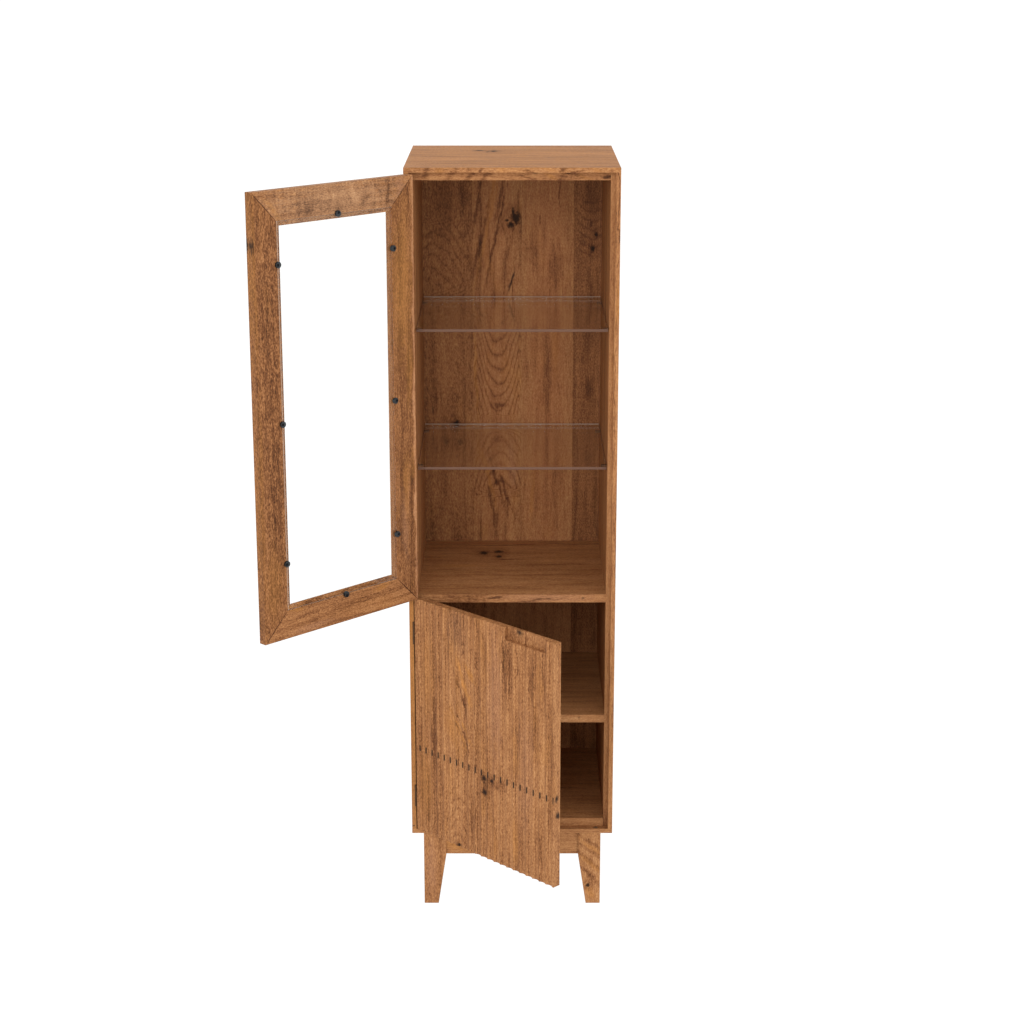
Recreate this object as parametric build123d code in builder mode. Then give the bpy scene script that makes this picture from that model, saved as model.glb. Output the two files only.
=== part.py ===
from build123d import *
import os

# Tall display cabinet in solid wood, modelled with both doors shut and then swung open about their hinge axis.
# +X is to the viewer's right, +Y to the back, +Z up. The origin is on the floor under the casing's centre.
# All sizes are in millimetres.

# Overall size
outer_width = 450
outer_depth = 450
outer_height = 1660
leg_height = 172

# Boards
casing_board = 10
side_board = 10
shelf_board = 18
back_board_thickness = 10
back_board_inset = 3
back_board_joints = (-91, 22, 141)
housing_depth = 4
casing_arris = 1.0

# Heights of what the compartments hold, each measured to its top face
divider_top = 730
lower_shelf_top = 449
glass_shelf_tops = {"upper": 1318, "lower": 1017}

# Glass shelves and their pins
glass_shelf_thickness = 6
glass_shelf_front_inset = 5
glass_shelf_back_gap = 4
glass_shelf_side_gap = 1.5
glass_edge_bevel = 0.5
shelf_pin_radius = 2.5
shelf_pin_bite = 8
shelf_pin_hole_clearance = 0.1
shelf_pin_inset = 50
paddle_length = 12
paddle_width = 10
paddle_thickness = 2

# Doors
door_thickness = 19
door_side_gap = 3
door_end_gap = 2
door_meeting_gap = 3
door_back_clearance = 1
door_arris = 0.8
upper_door_bottom = 731
upper_door_opening = 134.4
lower_door_opening = 45

# Upper door's frame, glass and retainers
member_width = 60
lip_width = 10.5
lip_bevel_width = 11.5
lip_bevel_depth = 12
pane_thickness = 5
pane_edge_gap = 0.5
retainer_radius = 6.4
retainer_thickness = 4.8
retainer_recess_radius = 3.2
retainer_recess_depth = 2
retainer_screw_offset = 2.2
retainer_screw_radius = 1.25
retainer_screw_length = 10
retainer_screw_head_radius = 2.8
retainer_screw_head_height = 1.2
retainer_bottom_distance = 160.5
retainer_top_distance = 145.5
retainer_middle_drop = 7
retainer_rail_reach = 207
spline_thickness = 4
spline_front = 5.5
spline_along = 36
spline_across = 30
spline_corner_inset = 32

# Lower door's flutes and finger recess
flute_pitch = 19.54
flute_depth = 3.6
flute_land = 0.6
flute_margin = 10.4
recess_edge_distance = 31.5
recess_length = 117
recess_height = 28
recess_depth = 12
recess_corner = 3

# Hinges
hinge_length = 50
hinge_end_distance = 80
hinge_axis_inset = 0.5
knuckle_radius = 2.2
knuckle_gap = 0.3
knuckle_share = 16.5
knuckle_relief = 0.4
case_leaf_thickness = 1.6
door_leaf_thickness = 1.4
leaf_reach = 16
web_front = 0.4
web_back = 1.0
hinge_pin_radius = 1.0
hinge_pin_clearance = 0.05
hinge_pin_head_radius = 1.8
hinge_pin_head_height = 0.6
leaf_screw_spread = 30
leaf_screw_depth = 10
leaf_screw_radius = 1.2
leaf_screw_head_radius = 2.6
leaf_screw_head_height = 1.2
case_screw_length = 7
door_screw_length = 14

# Magnetic catches
magnet_radius = 5
magnet_thickness = 3
strike_thickness = 2.5
catch_edge_distance = 24

# Base
leg_inset = 26
leg_size = 50.5
sole_size = 32.2
leg_arris = 1.5
apron_height = 52
apron_thickness = 18
apron_setback = 5
tenon_length = 15
tenon_thickness = 8
tenon_shoulder = 8
corner_block_height = 36
corner_block_leg = 45
leg_bolt_radius = 3
leg_bolt_length = 37
leg_bolt_head_radius = 6.5
leg_bolt_head_height = 4
base_screw_offset = 20.5
base_screw_wall = 9
base_screw_radius = 2
base_screw_length = 54
base_screw_head_radius = 4

# Back screws and dowels
back_screw_edge = 25
back_screw_radius = 1.75
back_screw_length = 25
back_screw_head_radius = 3.5
dowel_radius = 3
dowel_length = 24
dowel_bite = 6
dowel_end_distance = 35

# Clearance round every screw, bolt, dowel, tenon and spline in its hole
hole_clearance = 0.05

# Places that follow from the sizes above
side_x = outer_width / 2
front_y = -outer_depth / 2
back_y = outer_depth / 2
casing_inner_x = side_x - casing_board
carcass_inner_x = casing_inner_x - side_board
casing_floor_z = leg_height + casing_board
casing_roof_z = outer_height - casing_board
carcass_front_y = front_y + door_thickness + door_back_clearance
carcass_back_y = back_y - back_board_inset - back_board_thickness
floor_top_z = casing_floor_z + shelf_board
ceiling_z = casing_roof_z - shelf_board
door_hinge_x = -casing_inner_x + door_side_gap
door_free_x = casing_inner_x - door_side_gap
door_back_y = front_y + door_thickness
upper_door_top = casing_roof_z - door_end_gap
lower_door_bottom = casing_floor_z + door_end_gap
lower_door_top = upper_door_bottom - door_meeting_gap
hinge_x = -casing_inner_x - hinge_axis_inset
hinge_axis = Axis((hinge_x, front_y, 0), (0, 0, 1))
upper_hinge_heights = (
    upper_door_bottom + hinge_end_distance,
    (upper_door_bottom + upper_door_top) / 2,
    upper_door_top - hinge_end_distance,
)
lower_hinge_heights = (lower_door_bottom + hinge_end_distance, lower_door_top - hinge_end_distance)
leaf_screw_y = front_y + leaf_screw_depth
catch_x = door_free_x - catch_edge_distance
catch_y = front_y + door_thickness / 2


def block(low, high, mode=Mode.ADD):
    """A rectangular block between two opposite corners."""
    middle = tuple((a + b) / 2 for a, b in zip(low, high))
    with Locations(middle):
        Box(*(b - a for a, b in zip(low, high)), mode=mode)


def rod(start, direction, length, radius, mode=Mode.ADD):
    """A round rod from a point along a direction."""
    with Locations(Plane(origin=start, z_dir=direction)):
        Cylinder(radius, length, align=(Align.CENTER, Align.CENTER, Align.MIN), mode=mode)


def countersunk(start, direction, length, radius, head_radius, head_height, mode=Mode.ADD):
    """A countersunk screw whose flat head lies at a point and whose shank runs along a direction."""
    with Locations(Plane(origin=start, z_dir=direction)):
        upright = (Align.CENTER, Align.CENTER, Align.MIN)
        Cone(head_radius, radius, head_height, align=upright, mode=mode)
        Cylinder(radius, length, align=upright, mode=mode)


# Casing: four thin boards glued into a box, top and bottom over the ends of the sides
with BuildPart() as casing_top:
    block((-side_x, front_y, casing_roof_z), (side_x, back_y, outer_height))
    fillet(casing_top.faces().sort_by(Axis.Z)[-1].edges(), casing_arris)
    rod((catch_x, catch_y, casing_roof_z), (0, 0, 1), strike_thickness, magnet_radius, Mode.SUBTRACT)

with BuildPart() as casing_bottom:
    block((-side_x, front_y, leg_height), (side_x, back_y, casing_floor_z))
    fillet(casing_bottom.faces().sort_by(Axis.Z)[0].edges(), casing_arris)
    rod((catch_x, catch_y, casing_floor_z), (0, 0, -1), strike_thickness, magnet_radius, Mode.SUBTRACT)


def hinge_cutouts(heights):
    """Shallow beds for the casing's hinge leaves, room for the knuckles, and the pilot holes of the screws."""
    for height in heights:
        low_z = height - hinge_length / 2
        bed_low = (-casing_inner_x - case_leaf_thickness, front_y, low_z - hole_clearance)
        bed_high = (-casing_inner_x, front_y + leaf_reach + hole_clearance, low_z + hinge_length + hole_clearance)
        block(bed_low, bed_high, Mode.SUBTRACT)
        relief_start = (hinge_x, front_y, low_z - 2 * hinge_pin_head_height)
        relief_length = hinge_length + 4 * hinge_pin_head_height
        rod(relief_start, (0, 0, 1), relief_length, knuckle_radius + knuckle_relief, Mode.SUBTRACT)
        for end in (-1, 1):
            start = (-casing_inner_x, leaf_screw_y, height + end * leaf_screw_spread / 2)
            rod(start, (-1, 0, 0), case_screw_length, leaf_screw_radius + hole_clearance, Mode.SUBTRACT)


with BuildPart() as casing_left_side:
    block((-side_x, front_y, casing_floor_z), (-casing_inner_x, back_y, casing_roof_z))
    outer_corners = casing_left_side.faces().sort_by(Axis.X)[0].edges().filter_by(Axis.Z)
    fillet(outer_corners, casing_arris)
    hinge_cutouts(upper_hinge_heights + lower_hinge_heights)

with BuildPart() as casing_right_side:
    block((casing_inner_x, front_y, casing_floor_z), (side_x, back_y, casing_roof_z))
    outer_corners = casing_right_side.faces().sort_by(Axis.X)[-1].edges().filter_by(Axis.Z)
    fillet(outer_corners, casing_arris)


# Inner carcass: two sides that line the casing, with the top and the floor dowelled between them and the
# divider and the lower shelf housed in them. Its front edges are the stop behind the doors.
dowel_depths = (
    carcass_front_y + dowel_end_distance,
    (carcass_front_y + carcass_back_y) / 2,
    carcass_back_y - dowel_end_distance,
)
dowel_levels = (casing_floor_z + shelf_board / 2, casing_roof_z - shelf_board / 2)
housed_tops = (divider_top, lower_shelf_top)
shelf_pin_depths = (carcass_front_y + shelf_pin_inset, carcass_back_y - shelf_pin_inset)
shelf_pin_levels = [top - glass_shelf_thickness - shelf_pin_radius for top in glass_shelf_tops.values()]


def dowels(sides, levels, radius, mode=Mode.ADD):
    """Dowels across the joint between the inner sides and the boards at some levels."""
    for side in sides:
        for level in levels:
            for depth in dowel_depths:
                start = (side * (carcass_inner_x + dowel_bite), depth, level)
                rod(start, (-side, 0, 0), dowel_length, radius, mode)


def inner_side(side):
    """Inner side board with its housings, its dowel holes and its holes for the shelf pins."""
    with BuildPart() as board:
        faces_x = sorted((side * carcass_inner_x, side * casing_inner_x))
        block((faces_x[0], carcass_front_y, casing_floor_z), (faces_x[1], carcass_back_y, casing_roof_z))
        housing_x = sorted((side * carcass_inner_x, side * (carcass_inner_x + housing_depth)))
        for top in housed_tops:
            low = (housing_x[0], carcass_front_y, top - shelf_board)
            block(low, (housing_x[1], carcass_back_y, top), Mode.SUBTRACT)
        dowels((side,), dowel_levels, dowel_radius + hole_clearance, Mode.SUBTRACT)
        for level in shelf_pin_levels:
            for depth in shelf_pin_depths:
                start = (side * carcass_inner_x, depth, level)
                hole_radius = shelf_pin_radius + shelf_pin_hole_clearance
                rod(start, (side, 0, 0), shelf_pin_bite, hole_radius, Mode.SUBTRACT)
    return board


inner_left_side = inner_side(-1)
inner_right_side = inner_side(1)

back_board_edges = (-casing_inner_x,) + back_board_joints + (casing_inner_x,)
back_screw_levels = (casing_floor_z + shelf_board / 2, divider_top - shelf_board / 2, casing_roof_z - shelf_board / 2)
back_screw_columns = []
for left, right in zip(back_board_edges, back_board_edges[1:]):
    back_screw_columns += [left + back_screw_edge, right - back_screw_edge]


def back_screws_in(levels, clearance=0.0, mode=Mode.ADD):
    """Countersunk screws through the back boards into the rear edges of the boards at some levels."""
    for level in levels:
        for column in back_screw_columns:
            start = (column, back_y - back_board_inset, level)
            radius = back_screw_radius + clearance
            head_radius = back_screw_head_radius + clearance
            countersunk(start, (0, -1, 0), back_screw_length, radius, head_radius, back_screw_radius, mode)


def level_board(half_width, top, dowelled):
    """A board that lies level across the carcass, drilled from behind where the back boards are screwed to it."""
    with BuildPart() as board:
        block((-half_width, carcass_front_y, top - shelf_board), (half_width, carcass_back_y, top))
        middle = top - shelf_board / 2
        if dowelled:
            dowels((-1, 1), (middle,), dowel_radius + hole_clearance, Mode.SUBTRACT)
        if middle in back_screw_levels:
            back_screws_in((middle,), hole_clearance, Mode.SUBTRACT)
    return board


inner_top = level_board(carcass_inner_x, casing_roof_z, True)
divider = level_board(carcass_inner_x + housing_depth, divider_top, False)
lower_shelf = level_board(carcass_inner_x + housing_depth, lower_shelf_top, False)

with BuildPart() as carcass_dowels:
    dowels((-1, 1), dowel_levels, dowel_radius)


# Base: four legs that taper on their two inner faces, joined by tenoned aprons, with a block in each corner
leg_outer_x = side_x - leg_inset
leg_inner_x = leg_outer_x - leg_size
leg_inner_y = back_y - leg_size
apron_bottom_z = leg_height - apron_height
apron_outer_x = leg_outer_x - apron_setback
apron_outer_y = back_y - apron_setback
apron_inner_x = apron_outer_x - apron_thickness
apron_inner_y = apron_outer_y - apron_thickness
block_bottom_z = leg_height - corner_block_height
tenon_low_z = apron_bottom_z + tenon_shoulder
tenon_high_z = leg_height - tenon_shoulder
corners = {"front_left": (-1, -1), "front_right": (1, -1), "rear_left": (-1, 1), "rear_right": (1, 1)}


def cross_tenon(side, end, spread=0.0, mode=Mode.ADD):
    """Tenon at one end of the front or rear apron."""
    middle_y = end * (apron_outer_y - apron_thickness / 2)
    across_x = sorted((side * (leg_inner_x - spread), side * (leg_inner_x + tenon_length + spread)))
    half = tenon_thickness / 2 + spread
    low = (across_x[0], middle_y - half, tenon_low_z - spread)
    block(low, (across_x[1], middle_y + half, tenon_high_z + spread), mode)


def side_tenon(side, end, spread=0.0, mode=Mode.ADD):
    """Tenon at one end of a side apron."""
    middle_x = side * (apron_outer_x - apron_thickness / 2)
    along_y = sorted((end * (leg_inner_y - spread), end * (leg_inner_y + tenon_length + spread)))
    half = tenon_thickness / 2 + spread
    low = (middle_x - half, along_y[0], tenon_low_z - spread)
    block(low, (middle_x + half, along_y[1], tenon_high_z + spread), mode)


# The bolt runs level across the corner, from the slanting face of its block into the leg's inner corner
block_slope = (leg_inner_y + corner_block_leg - apron_inner_y) / 2
bolt_level = leg_height - corner_block_height / 2


def leg_bolt(side, end, clearance=0.0, mode=Mode.ADD):
    """Shank of the bolt that draws one leg against its corner block."""
    seat = (side * (leg_inner_x - block_slope), end * (leg_inner_y - block_slope), bolt_level)
    rod(seat, (side, end, 0), leg_bolt_length, leg_bolt_radius + clearance, mode)


def base_screws_at(side, end, clearance=0.0, mode=Mode.ADD):
    """Two screws through one corner block, up through the casing's bottom into the carcass floor."""
    along_cross = (side * (leg_inner_x - base_screw_offset), end * (apron_inner_y - base_screw_wall))
    along_side = (side * (apron_inner_x - base_screw_wall), end * (leg_inner_y - base_screw_offset))
    radius = base_screw_radius + clearance
    head_radius = base_screw_head_radius + clearance
    for x, y in (along_cross, along_side):
        start = (x, y, block_bottom_z)
        countersunk(start, (0, 0, 1), base_screw_length, radius, head_radius, base_screw_radius, mode)


legs = {}
corner_points = {}
for corner, (side, end) in corners.items():
    with BuildPart() as leg:
        for height, size in ((0, sole_size), (apron_bottom_z, leg_size)):
            with BuildSketch(Plane.XY.offset(height)):
                with Locations((side * (leg_outer_x - size / 2), end * (back_y - size / 2))):
                    RectangleRounded(size, size, leg_arris)
        loft(ruled=True)
        with BuildSketch(Plane.XY.offset(apron_bottom_z)):
            with Locations((side * (leg_outer_x - leg_size / 2), end * (back_y - leg_size / 2))):
                RectangleRounded(leg_size, leg_size, leg_arris)
        extrude(amount=apron_height)
        cross_tenon(side, end, hole_clearance, Mode.SUBTRACT)
        side_tenon(side, end, hole_clearance, Mode.SUBTRACT)
        leg_bolt(side, end, hole_clearance, Mode.SUBTRACT)
    legs["leg_" + corner] = leg
    corner_points[corner] = [
        (side * leg_inner_x, end * apron_inner_y),
        (side * (leg_inner_x - corner_block_leg), end * apron_inner_y),
        (side * apron_inner_x, end * (leg_inner_y - corner_block_leg)),
        (side * apron_inner_x, end * leg_inner_y),
        (side * leg_inner_x, end * leg_inner_y),
    ]

aprons = {}
for name, end in (("front", -1), ("rear", 1)):
    with BuildPart() as apron:
        faces_y = sorted((end * apron_inner_y, end * apron_outer_y))
        block((-leg_inner_x, faces_y[0], apron_bottom_z), (leg_inner_x, faces_y[1], leg_height))
        cross_tenon(-1, end)
        cross_tenon(1, end)
    aprons["apron_" + name] = apron
for name, side in (("left", -1), ("right", 1)):
    with BuildPart() as apron:
        faces_x = sorted((side * apron_inner_x, side * apron_outer_x))
        block((faces_x[0], -leg_inner_y, apron_bottom_z), (faces_x[1], leg_inner_y, leg_height))
        side_tenon(side, -1)
        side_tenon(side, 1)
    aprons["apron_" + name] = apron

with BuildPart() as corner_blocks:
    for corner, (side, end) in corners.items():
        with BuildSketch(Plane.XY.offset(block_bottom_z)):
            with BuildLine():
                Polyline(*corner_points[corner], close=True)
            make_face()
        extrude(amount=corner_block_height)
        leg_bolt(side, end, hole_clearance, Mode.SUBTRACT)
        base_screws_at(side, end, hole_clearance, Mode.SUBTRACT)

with BuildPart() as leg_bolts:
    for side, end in corners.values():
        leg_bolt(side, end)
        seat = (side * (leg_inner_x - block_slope), end * (leg_inner_y - block_slope), bolt_level)
        rod(seat, (-side, -end, 0), leg_bolt_head_height, leg_bolt_head_radius)

with BuildPart() as base_screws:
    for side, end in corners.values():
        base_screws_at(side, end)

with BuildPart() as inner_bottom:
    block((-carcass_inner_x, carcass_front_y, casing_floor_z), (carcass_inner_x, carcass_back_y, floor_top_z))
    dowels((-1, 1), dowel_levels[:1], dowel_radius + hole_clearance, Mode.SUBTRACT)
    back_screws_in(back_screw_levels[:1], hole_clearance, Mode.SUBTRACT)
    for side, end in corners.values():
        base_screws_at(side, end, hole_clearance, Mode.SUBTRACT)

with BuildPart(mode=Mode.PRIVATE) as drilled_bottom:
    add(casing_bottom.part)
    for side, end in corners.values():
        base_screws_at(side, end, hole_clearance, Mode.SUBTRACT)
casing_bottom = drilled_bottom


# Back: upright boards edge to edge between the casing's sides, screwed on from behind
back_boards = {}
for number, (left, right) in enumerate(zip(back_board_edges, back_board_edges[1:]), start=1):
    with BuildPart() as back_board:
        block((left, carcass_back_y, casing_floor_z), (right, back_y - back_board_inset, casing_roof_z))
        back_screws_in(back_screw_levels, hole_clearance, Mode.SUBTRACT)
    back_boards[f"back_board_{number}"] = back_board

with BuildPart() as back_screws:
    back_screws_in(back_screw_levels)


# Glass shelves, each resting on four pins with flat paddles
glass_shelves = {}
for name, top in glass_shelf_tops.items():
    half_width = carcass_inner_x - glass_shelf_side_gap
    with BuildPart() as glass_shelf:
        low = (-half_width, carcass_front_y + glass_shelf_front_inset, top - glass_shelf_thickness)
        block(low, (half_width, carcass_back_y - glass_shelf_back_gap, top))
        chamfer(glass_shelf.edges(), glass_edge_bevel)
    glass_shelves["glass_shelf_" + name] = glass_shelf

with BuildPart() as shelf_pins:
    for side in (-1, 1):
        for level in shelf_pin_levels:
            for depth in shelf_pin_depths:
                outer_end = (side * (carcass_inner_x + shelf_pin_bite), depth, level)
                rod(outer_end, (-side, 0, 0), shelf_pin_bite + paddle_length, shelf_pin_radius)
                paddle_x = sorted((side * (carcass_inner_x - paddle_length), side * carcass_inner_x))
                paddle_top = level + shelf_pin_radius
                low = (paddle_x[0], depth - paddle_width / 2, paddle_top - paddle_thickness)
                block(low, (paddle_x[1], depth + paddle_width / 2, paddle_top))


# Hinges: the casing's leaf carries the outer knuckles and the pin, the door's leaf the middle knuckle
def hinge_case_leaves(heights):
    """Leaves let in flush with the casing's side."""
    with BuildPart() as leaves:
        for height in heights:
            low_z = height - hinge_length / 2
            high_z = low_z + hinge_length
            back_x = -casing_inner_x - case_leaf_thickness
            clear_y = front_y + knuckle_radius + knuckle_gap
            block((back_x, clear_y, low_z), (-casing_inner_x, front_y + leaf_reach, high_z))
            for start_z in (low_z, high_z - knuckle_share):
                block((back_x, front_y, start_z), (-casing_inner_x, clear_y, start_z + knuckle_share))
                rod((hinge_x, front_y, start_z), (0, 0, 1), knuckle_share, knuckle_radius)
            bore_radius = hinge_pin_radius + hinge_pin_clearance
            rod((hinge_x, front_y, low_z), (0, 0, 1), hinge_length, bore_radius, Mode.SUBTRACT)
        leaf_screws(heights, -casing_inner_x, -1, case_screw_length, hole_clearance, Mode.SUBTRACT)
    return leaves


def hinge_door_leaves(heights):
    """Leaves fixed on the door's hinge edge, in the gap beside it, with the door shut."""
    with BuildPart() as leaves:
        for height in heights:
            low_z = height - hinge_length / 2
            high_z = low_z + hinge_length
            near_x = door_hinge_x - door_leaf_thickness
            near_y = front_y + web_back + web_front
            block((near_x, near_y, low_z), (door_hinge_x, front_y + leaf_reach, high_z))
            knuckle_low = low_z + knuckle_share + knuckle_gap
            knuckle_high = high_z - knuckle_share - knuckle_gap
            block((hinge_x, front_y - web_front, knuckle_low), (door_hinge_x, front_y + web_back, knuckle_high))
            block((near_x, front_y, knuckle_low), (door_hinge_x, near_y, knuckle_high))
            rod((hinge_x, front_y, knuckle_low), (0, 0, 1), knuckle_high - knuckle_low, knuckle_radius)
            bore_radius = hinge_pin_radius + hinge_pin_clearance
            rod((hinge_x, front_y, low_z), (0, 0, 1), hinge_length, bore_radius, Mode.SUBTRACT)
        face_x = door_hinge_x - door_leaf_thickness
        leaf_screws(heights, face_x, 1, door_screw_length, hole_clearance, Mode.SUBTRACT)
    return leaves


def hinge_pins(heights):
    """Pins with a small flat head at each end."""
    with BuildPart() as pins:
        for height in heights:
            low_z = height - hinge_length / 2
            rod((hinge_x, front_y, low_z), (0, 0, 1), hinge_length, hinge_pin_radius)
            for head_z in (low_z - hinge_pin_head_height, low_z + hinge_length):
                rod((hinge_x, front_y, head_z), (0, 0, 1), hinge_pin_head_height, hinge_pin_head_radius)
    return pins


def leaf_screws(heights, face_x, direction, length, clearance=0.0, mode=Mode.ADD):
    """Two countersunk screws for each hinge leaf."""
    for height in heights:
        for end in (-1, 1):
            start = (face_x, leaf_screw_y, height + end * leaf_screw_spread / 2)
            radius = leaf_screw_radius + clearance
            head_radius = leaf_screw_head_radius + clearance
            countersunk(start, (direction, 0, 0), length, radius, head_radius, leaf_screw_head_height, mode)


def hinge_case_screws(heights):
    """Screws that hold the leaves to the casing."""
    with BuildPart() as screws:
        leaf_screws(heights, -casing_inner_x, -1, case_screw_length)
    return screws


def hinge_door_screws(heights):
    """Screws that hold the leaves to the door's edge."""
    with BuildPart() as screws:
        leaf_screws(heights, door_hinge_x - door_leaf_thickness, 1, door_screw_length)
    return screws


def door_screw_holes(heights):
    """Pilot holes for the hinge screws in a door's edge."""
    for height in heights:
        for end in (-1, 1):
            start = (door_hinge_x, leaf_screw_y, height + end * leaf_screw_spread / 2)
            depth = door_screw_length - door_leaf_thickness
            rod(start, (1, 0, 0), depth, leaf_screw_radius + hole_clearance, Mode.SUBTRACT)


# Upper door: four mitred members round a pane that lies in a rebate open to the back
pane_front_y = door_back_y - pane_thickness
member_names = ("upper_door_bottom_rail", "upper_door_free_stile", "upper_door_top_rail", "upper_door_hinge_stile")
outer_edge_axes = (Axis.Z, Axis.X, Axis.Z, Axis.X)
outer_edge_ends = (0, -1, -1, 0)


def door_corners(inset):
    """Corners of the upper door drawn in by an inset, from the bottom at the hinge side round to the top."""
    left, right = door_hinge_x + inset, door_free_x - inset
    low, high = upper_door_bottom + inset, upper_door_top - inset
    return [(left, low), (right, low), (right, high), (left, high)]


def member_face(number, depth_y, inset):
    """Mitred outline of one member, on an upright plane."""
    outer, inner = door_corners(0), door_corners(inset)
    following = (number + 1) % 4
    with BuildSketch(Plane.XZ.offset(-depth_y)) as outline:
        with BuildLine():
            Polyline(outer[number], outer[following], inner[following], inner[number], close=True)
        make_face()
    return outline.sketch


retainer_heights = (
    upper_door_bottom + retainer_bottom_distance,
    (upper_door_bottom + upper_door_top) / 2 - retainer_middle_drop,
    upper_door_top - retainer_top_distance,
)
retainer_points = []
for height in retainer_heights:
    retainer_points.append((door_hinge_x + member_width, height, -1, 0))
    retainer_points.append((door_free_x - member_width, height, 1, 0))
rail_x = door_hinge_x + retainer_rail_reach
retainer_points.append((rail_x, upper_door_bottom + member_width, 0, -1))
retainer_points.append((rail_x, upper_door_top - member_width, 0, 1))


retainer_seat_y = door_back_y + retainer_thickness - retainer_recess_depth
retainer_screw_points = []
for x, z, to_x, to_z in retainer_points:
    screw_x, screw_z = x + to_x * retainer_screw_offset, z + to_z * retainer_screw_offset
    retainer_screw_points.append((screw_x, retainer_seat_y, screw_z))


def retainer_screws_in(clearance=0.0, mode=Mode.ADD):
    """Shanks of the retainers' screws, set off from the retainer's centre into the wood."""
    for start in retainer_screw_points:
        length = retainer_screw_length + retainer_seat_y - door_back_y
        rod(start, (0, -1, 0), length, retainer_screw_radius + clearance, mode)


def mitre_splines_in(spread=0.0, mode=Mode.ADD):
    """A flat spline across each mitre."""
    front = front_y + spline_front - spread
    middle_y = front + spline_thickness / 2 + spread
    for number, (x, z) in enumerate(door_corners(spline_corner_inset)):
        turn = 45 if number % 2 == 0 else -45
        with Locations(Location((x, middle_y, z), (0, -turn, 0))):
            size = (spline_along + 2 * spread, spline_thickness + 2 * spread, spline_across + 2 * spread)
            Box(*size, mode=mode)


members = {}
for number, name in enumerate(member_names):
    with BuildPart() as member:
        front_outline = member_face(number, front_y, member_width + lip_width - lip_bevel_width)
        lip_outline = member_face(number, front_y + lip_bevel_depth, member_width + lip_width)
        loft([front_outline, lip_outline], ruled=True)
        extrude(lip_outline, amount=pane_front_y - front_y - lip_bevel_depth, dir=(0, 1, 0))
        extrude(member_face(number, pane_front_y, member_width), amount=pane_thickness, dir=(0, 1, 0))
        long_edges = member.edges().group_by(outer_edge_axes[number])[outer_edge_ends[number]]
        fillet(long_edges.filter_by(GeomType.LINE).filter_by(Axis.Y, reverse=True), door_arris)
        mitre_splines_in(hole_clearance, Mode.SUBTRACT)
        retainer_screws_in(hole_clearance, Mode.SUBTRACT)
        if name.endswith("hinge_stile"):
            door_screw_holes(upper_hinge_heights)
        if name.endswith("top_rail"):
            rod((catch_x, catch_y, upper_door_top), (0, 0, -1), magnet_thickness, magnet_radius, Mode.SUBTRACT)
    members[name] = member

with BuildPart() as mitre_splines:
    mitre_splines_in()

with BuildPart() as upper_door_pane:
    pane_low, _, pane_high, _ = door_corners(member_width + pane_edge_gap)
    block((pane_low[0], pane_front_y, pane_low[1]), (pane_high[0], door_back_y, pane_high[1]))

with BuildPart() as glass_retainers:
    for x, z, _, _ in retainer_points:
        rod((x, door_back_y, z), (0, 1, 0), retainer_thickness, retainer_radius)
    for seat in retainer_screw_points:
        rod(seat, (0, 1, 0), retainer_recess_depth, retainer_recess_radius, Mode.SUBTRACT)
    retainer_screws_in(hole_clearance, Mode.SUBTRACT)

with BuildPart() as retainer_screws:
    retainer_screws_in()
    for seat in retainer_screw_points:
        rod(seat, (0, 1, 0), retainer_screw_head_height, retainer_screw_head_radius)

with BuildPart() as upper_door_magnet:
    rod((catch_x, catch_y, upper_door_top), (0, 0, -1), magnet_thickness, magnet_radius)

with BuildPart() as upper_strike_disc:
    rod((catch_x, catch_y, casing_roof_z), (0, 0, 1), strike_thickness, magnet_radius)


# Lower door: one solid panel, fluted from top to bottom on its front, with a finger recess in its top edge
flute_count = int((door_free_x - door_hinge_x - flute_margin) // flute_pitch)


def flute_profile():
    """Front outline of the panel from its free edge back to its hinge edge, through every flute."""
    for number in reversed(range(flute_count)):
        ridge_x = door_hinge_x + flute_margin + number * flute_pitch
        start_x = ridge_x + flute_pitch - flute_land / 2
        end_x = ridge_x + flute_land / 2
        middle = ((start_x + end_x) / 2, front_y + flute_depth)
        yield start_x, middle, end_x


with BuildPart() as lower_door_panel:
    with BuildSketch(Plane.XY.offset(lower_door_bottom)):
        with BuildLine():
            Polyline((door_hinge_x, front_y), (door_hinge_x, door_back_y), (door_free_x, door_back_y))
            corner = Line((door_free_x, door_back_y), (door_free_x, front_y))
            reached = corner @ 1
            for start_x, middle, end_x in flute_profile():
                Line(reached, (start_x, front_y))
                scoop = ThreePointArc((start_x, front_y), middle, (end_x, front_y))
                reached = scoop @ 1
            Line(reached, (door_hinge_x, front_y))
        make_face()
    extrude(amount=lower_door_top - lower_door_bottom)
    recess_middle_x = door_free_x - recess_edge_distance - recess_length / 2
    with BuildSketch(Plane.XZ.offset(-front_y)):
        with Locations((recess_middle_x, lower_door_top)):
            RectangleRounded(recess_length, 2 * recess_height, recess_corner)
    extrude(amount=-recess_depth, mode=Mode.SUBTRACT)
    door_screw_holes(lower_hinge_heights)
    rod((catch_x, catch_y, lower_door_bottom), (0, 0, 1), magnet_thickness, magnet_radius, Mode.SUBTRACT)

with BuildPart() as lower_door_magnet:
    rod((catch_x, catch_y, lower_door_bottom), (0, 0, 1), magnet_thickness, magnet_radius)

with BuildPart() as lower_strike_disc:
    rod((catch_x, catch_y, casing_floor_z), (0, 0, -1), strike_thickness, magnet_radius)


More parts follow.
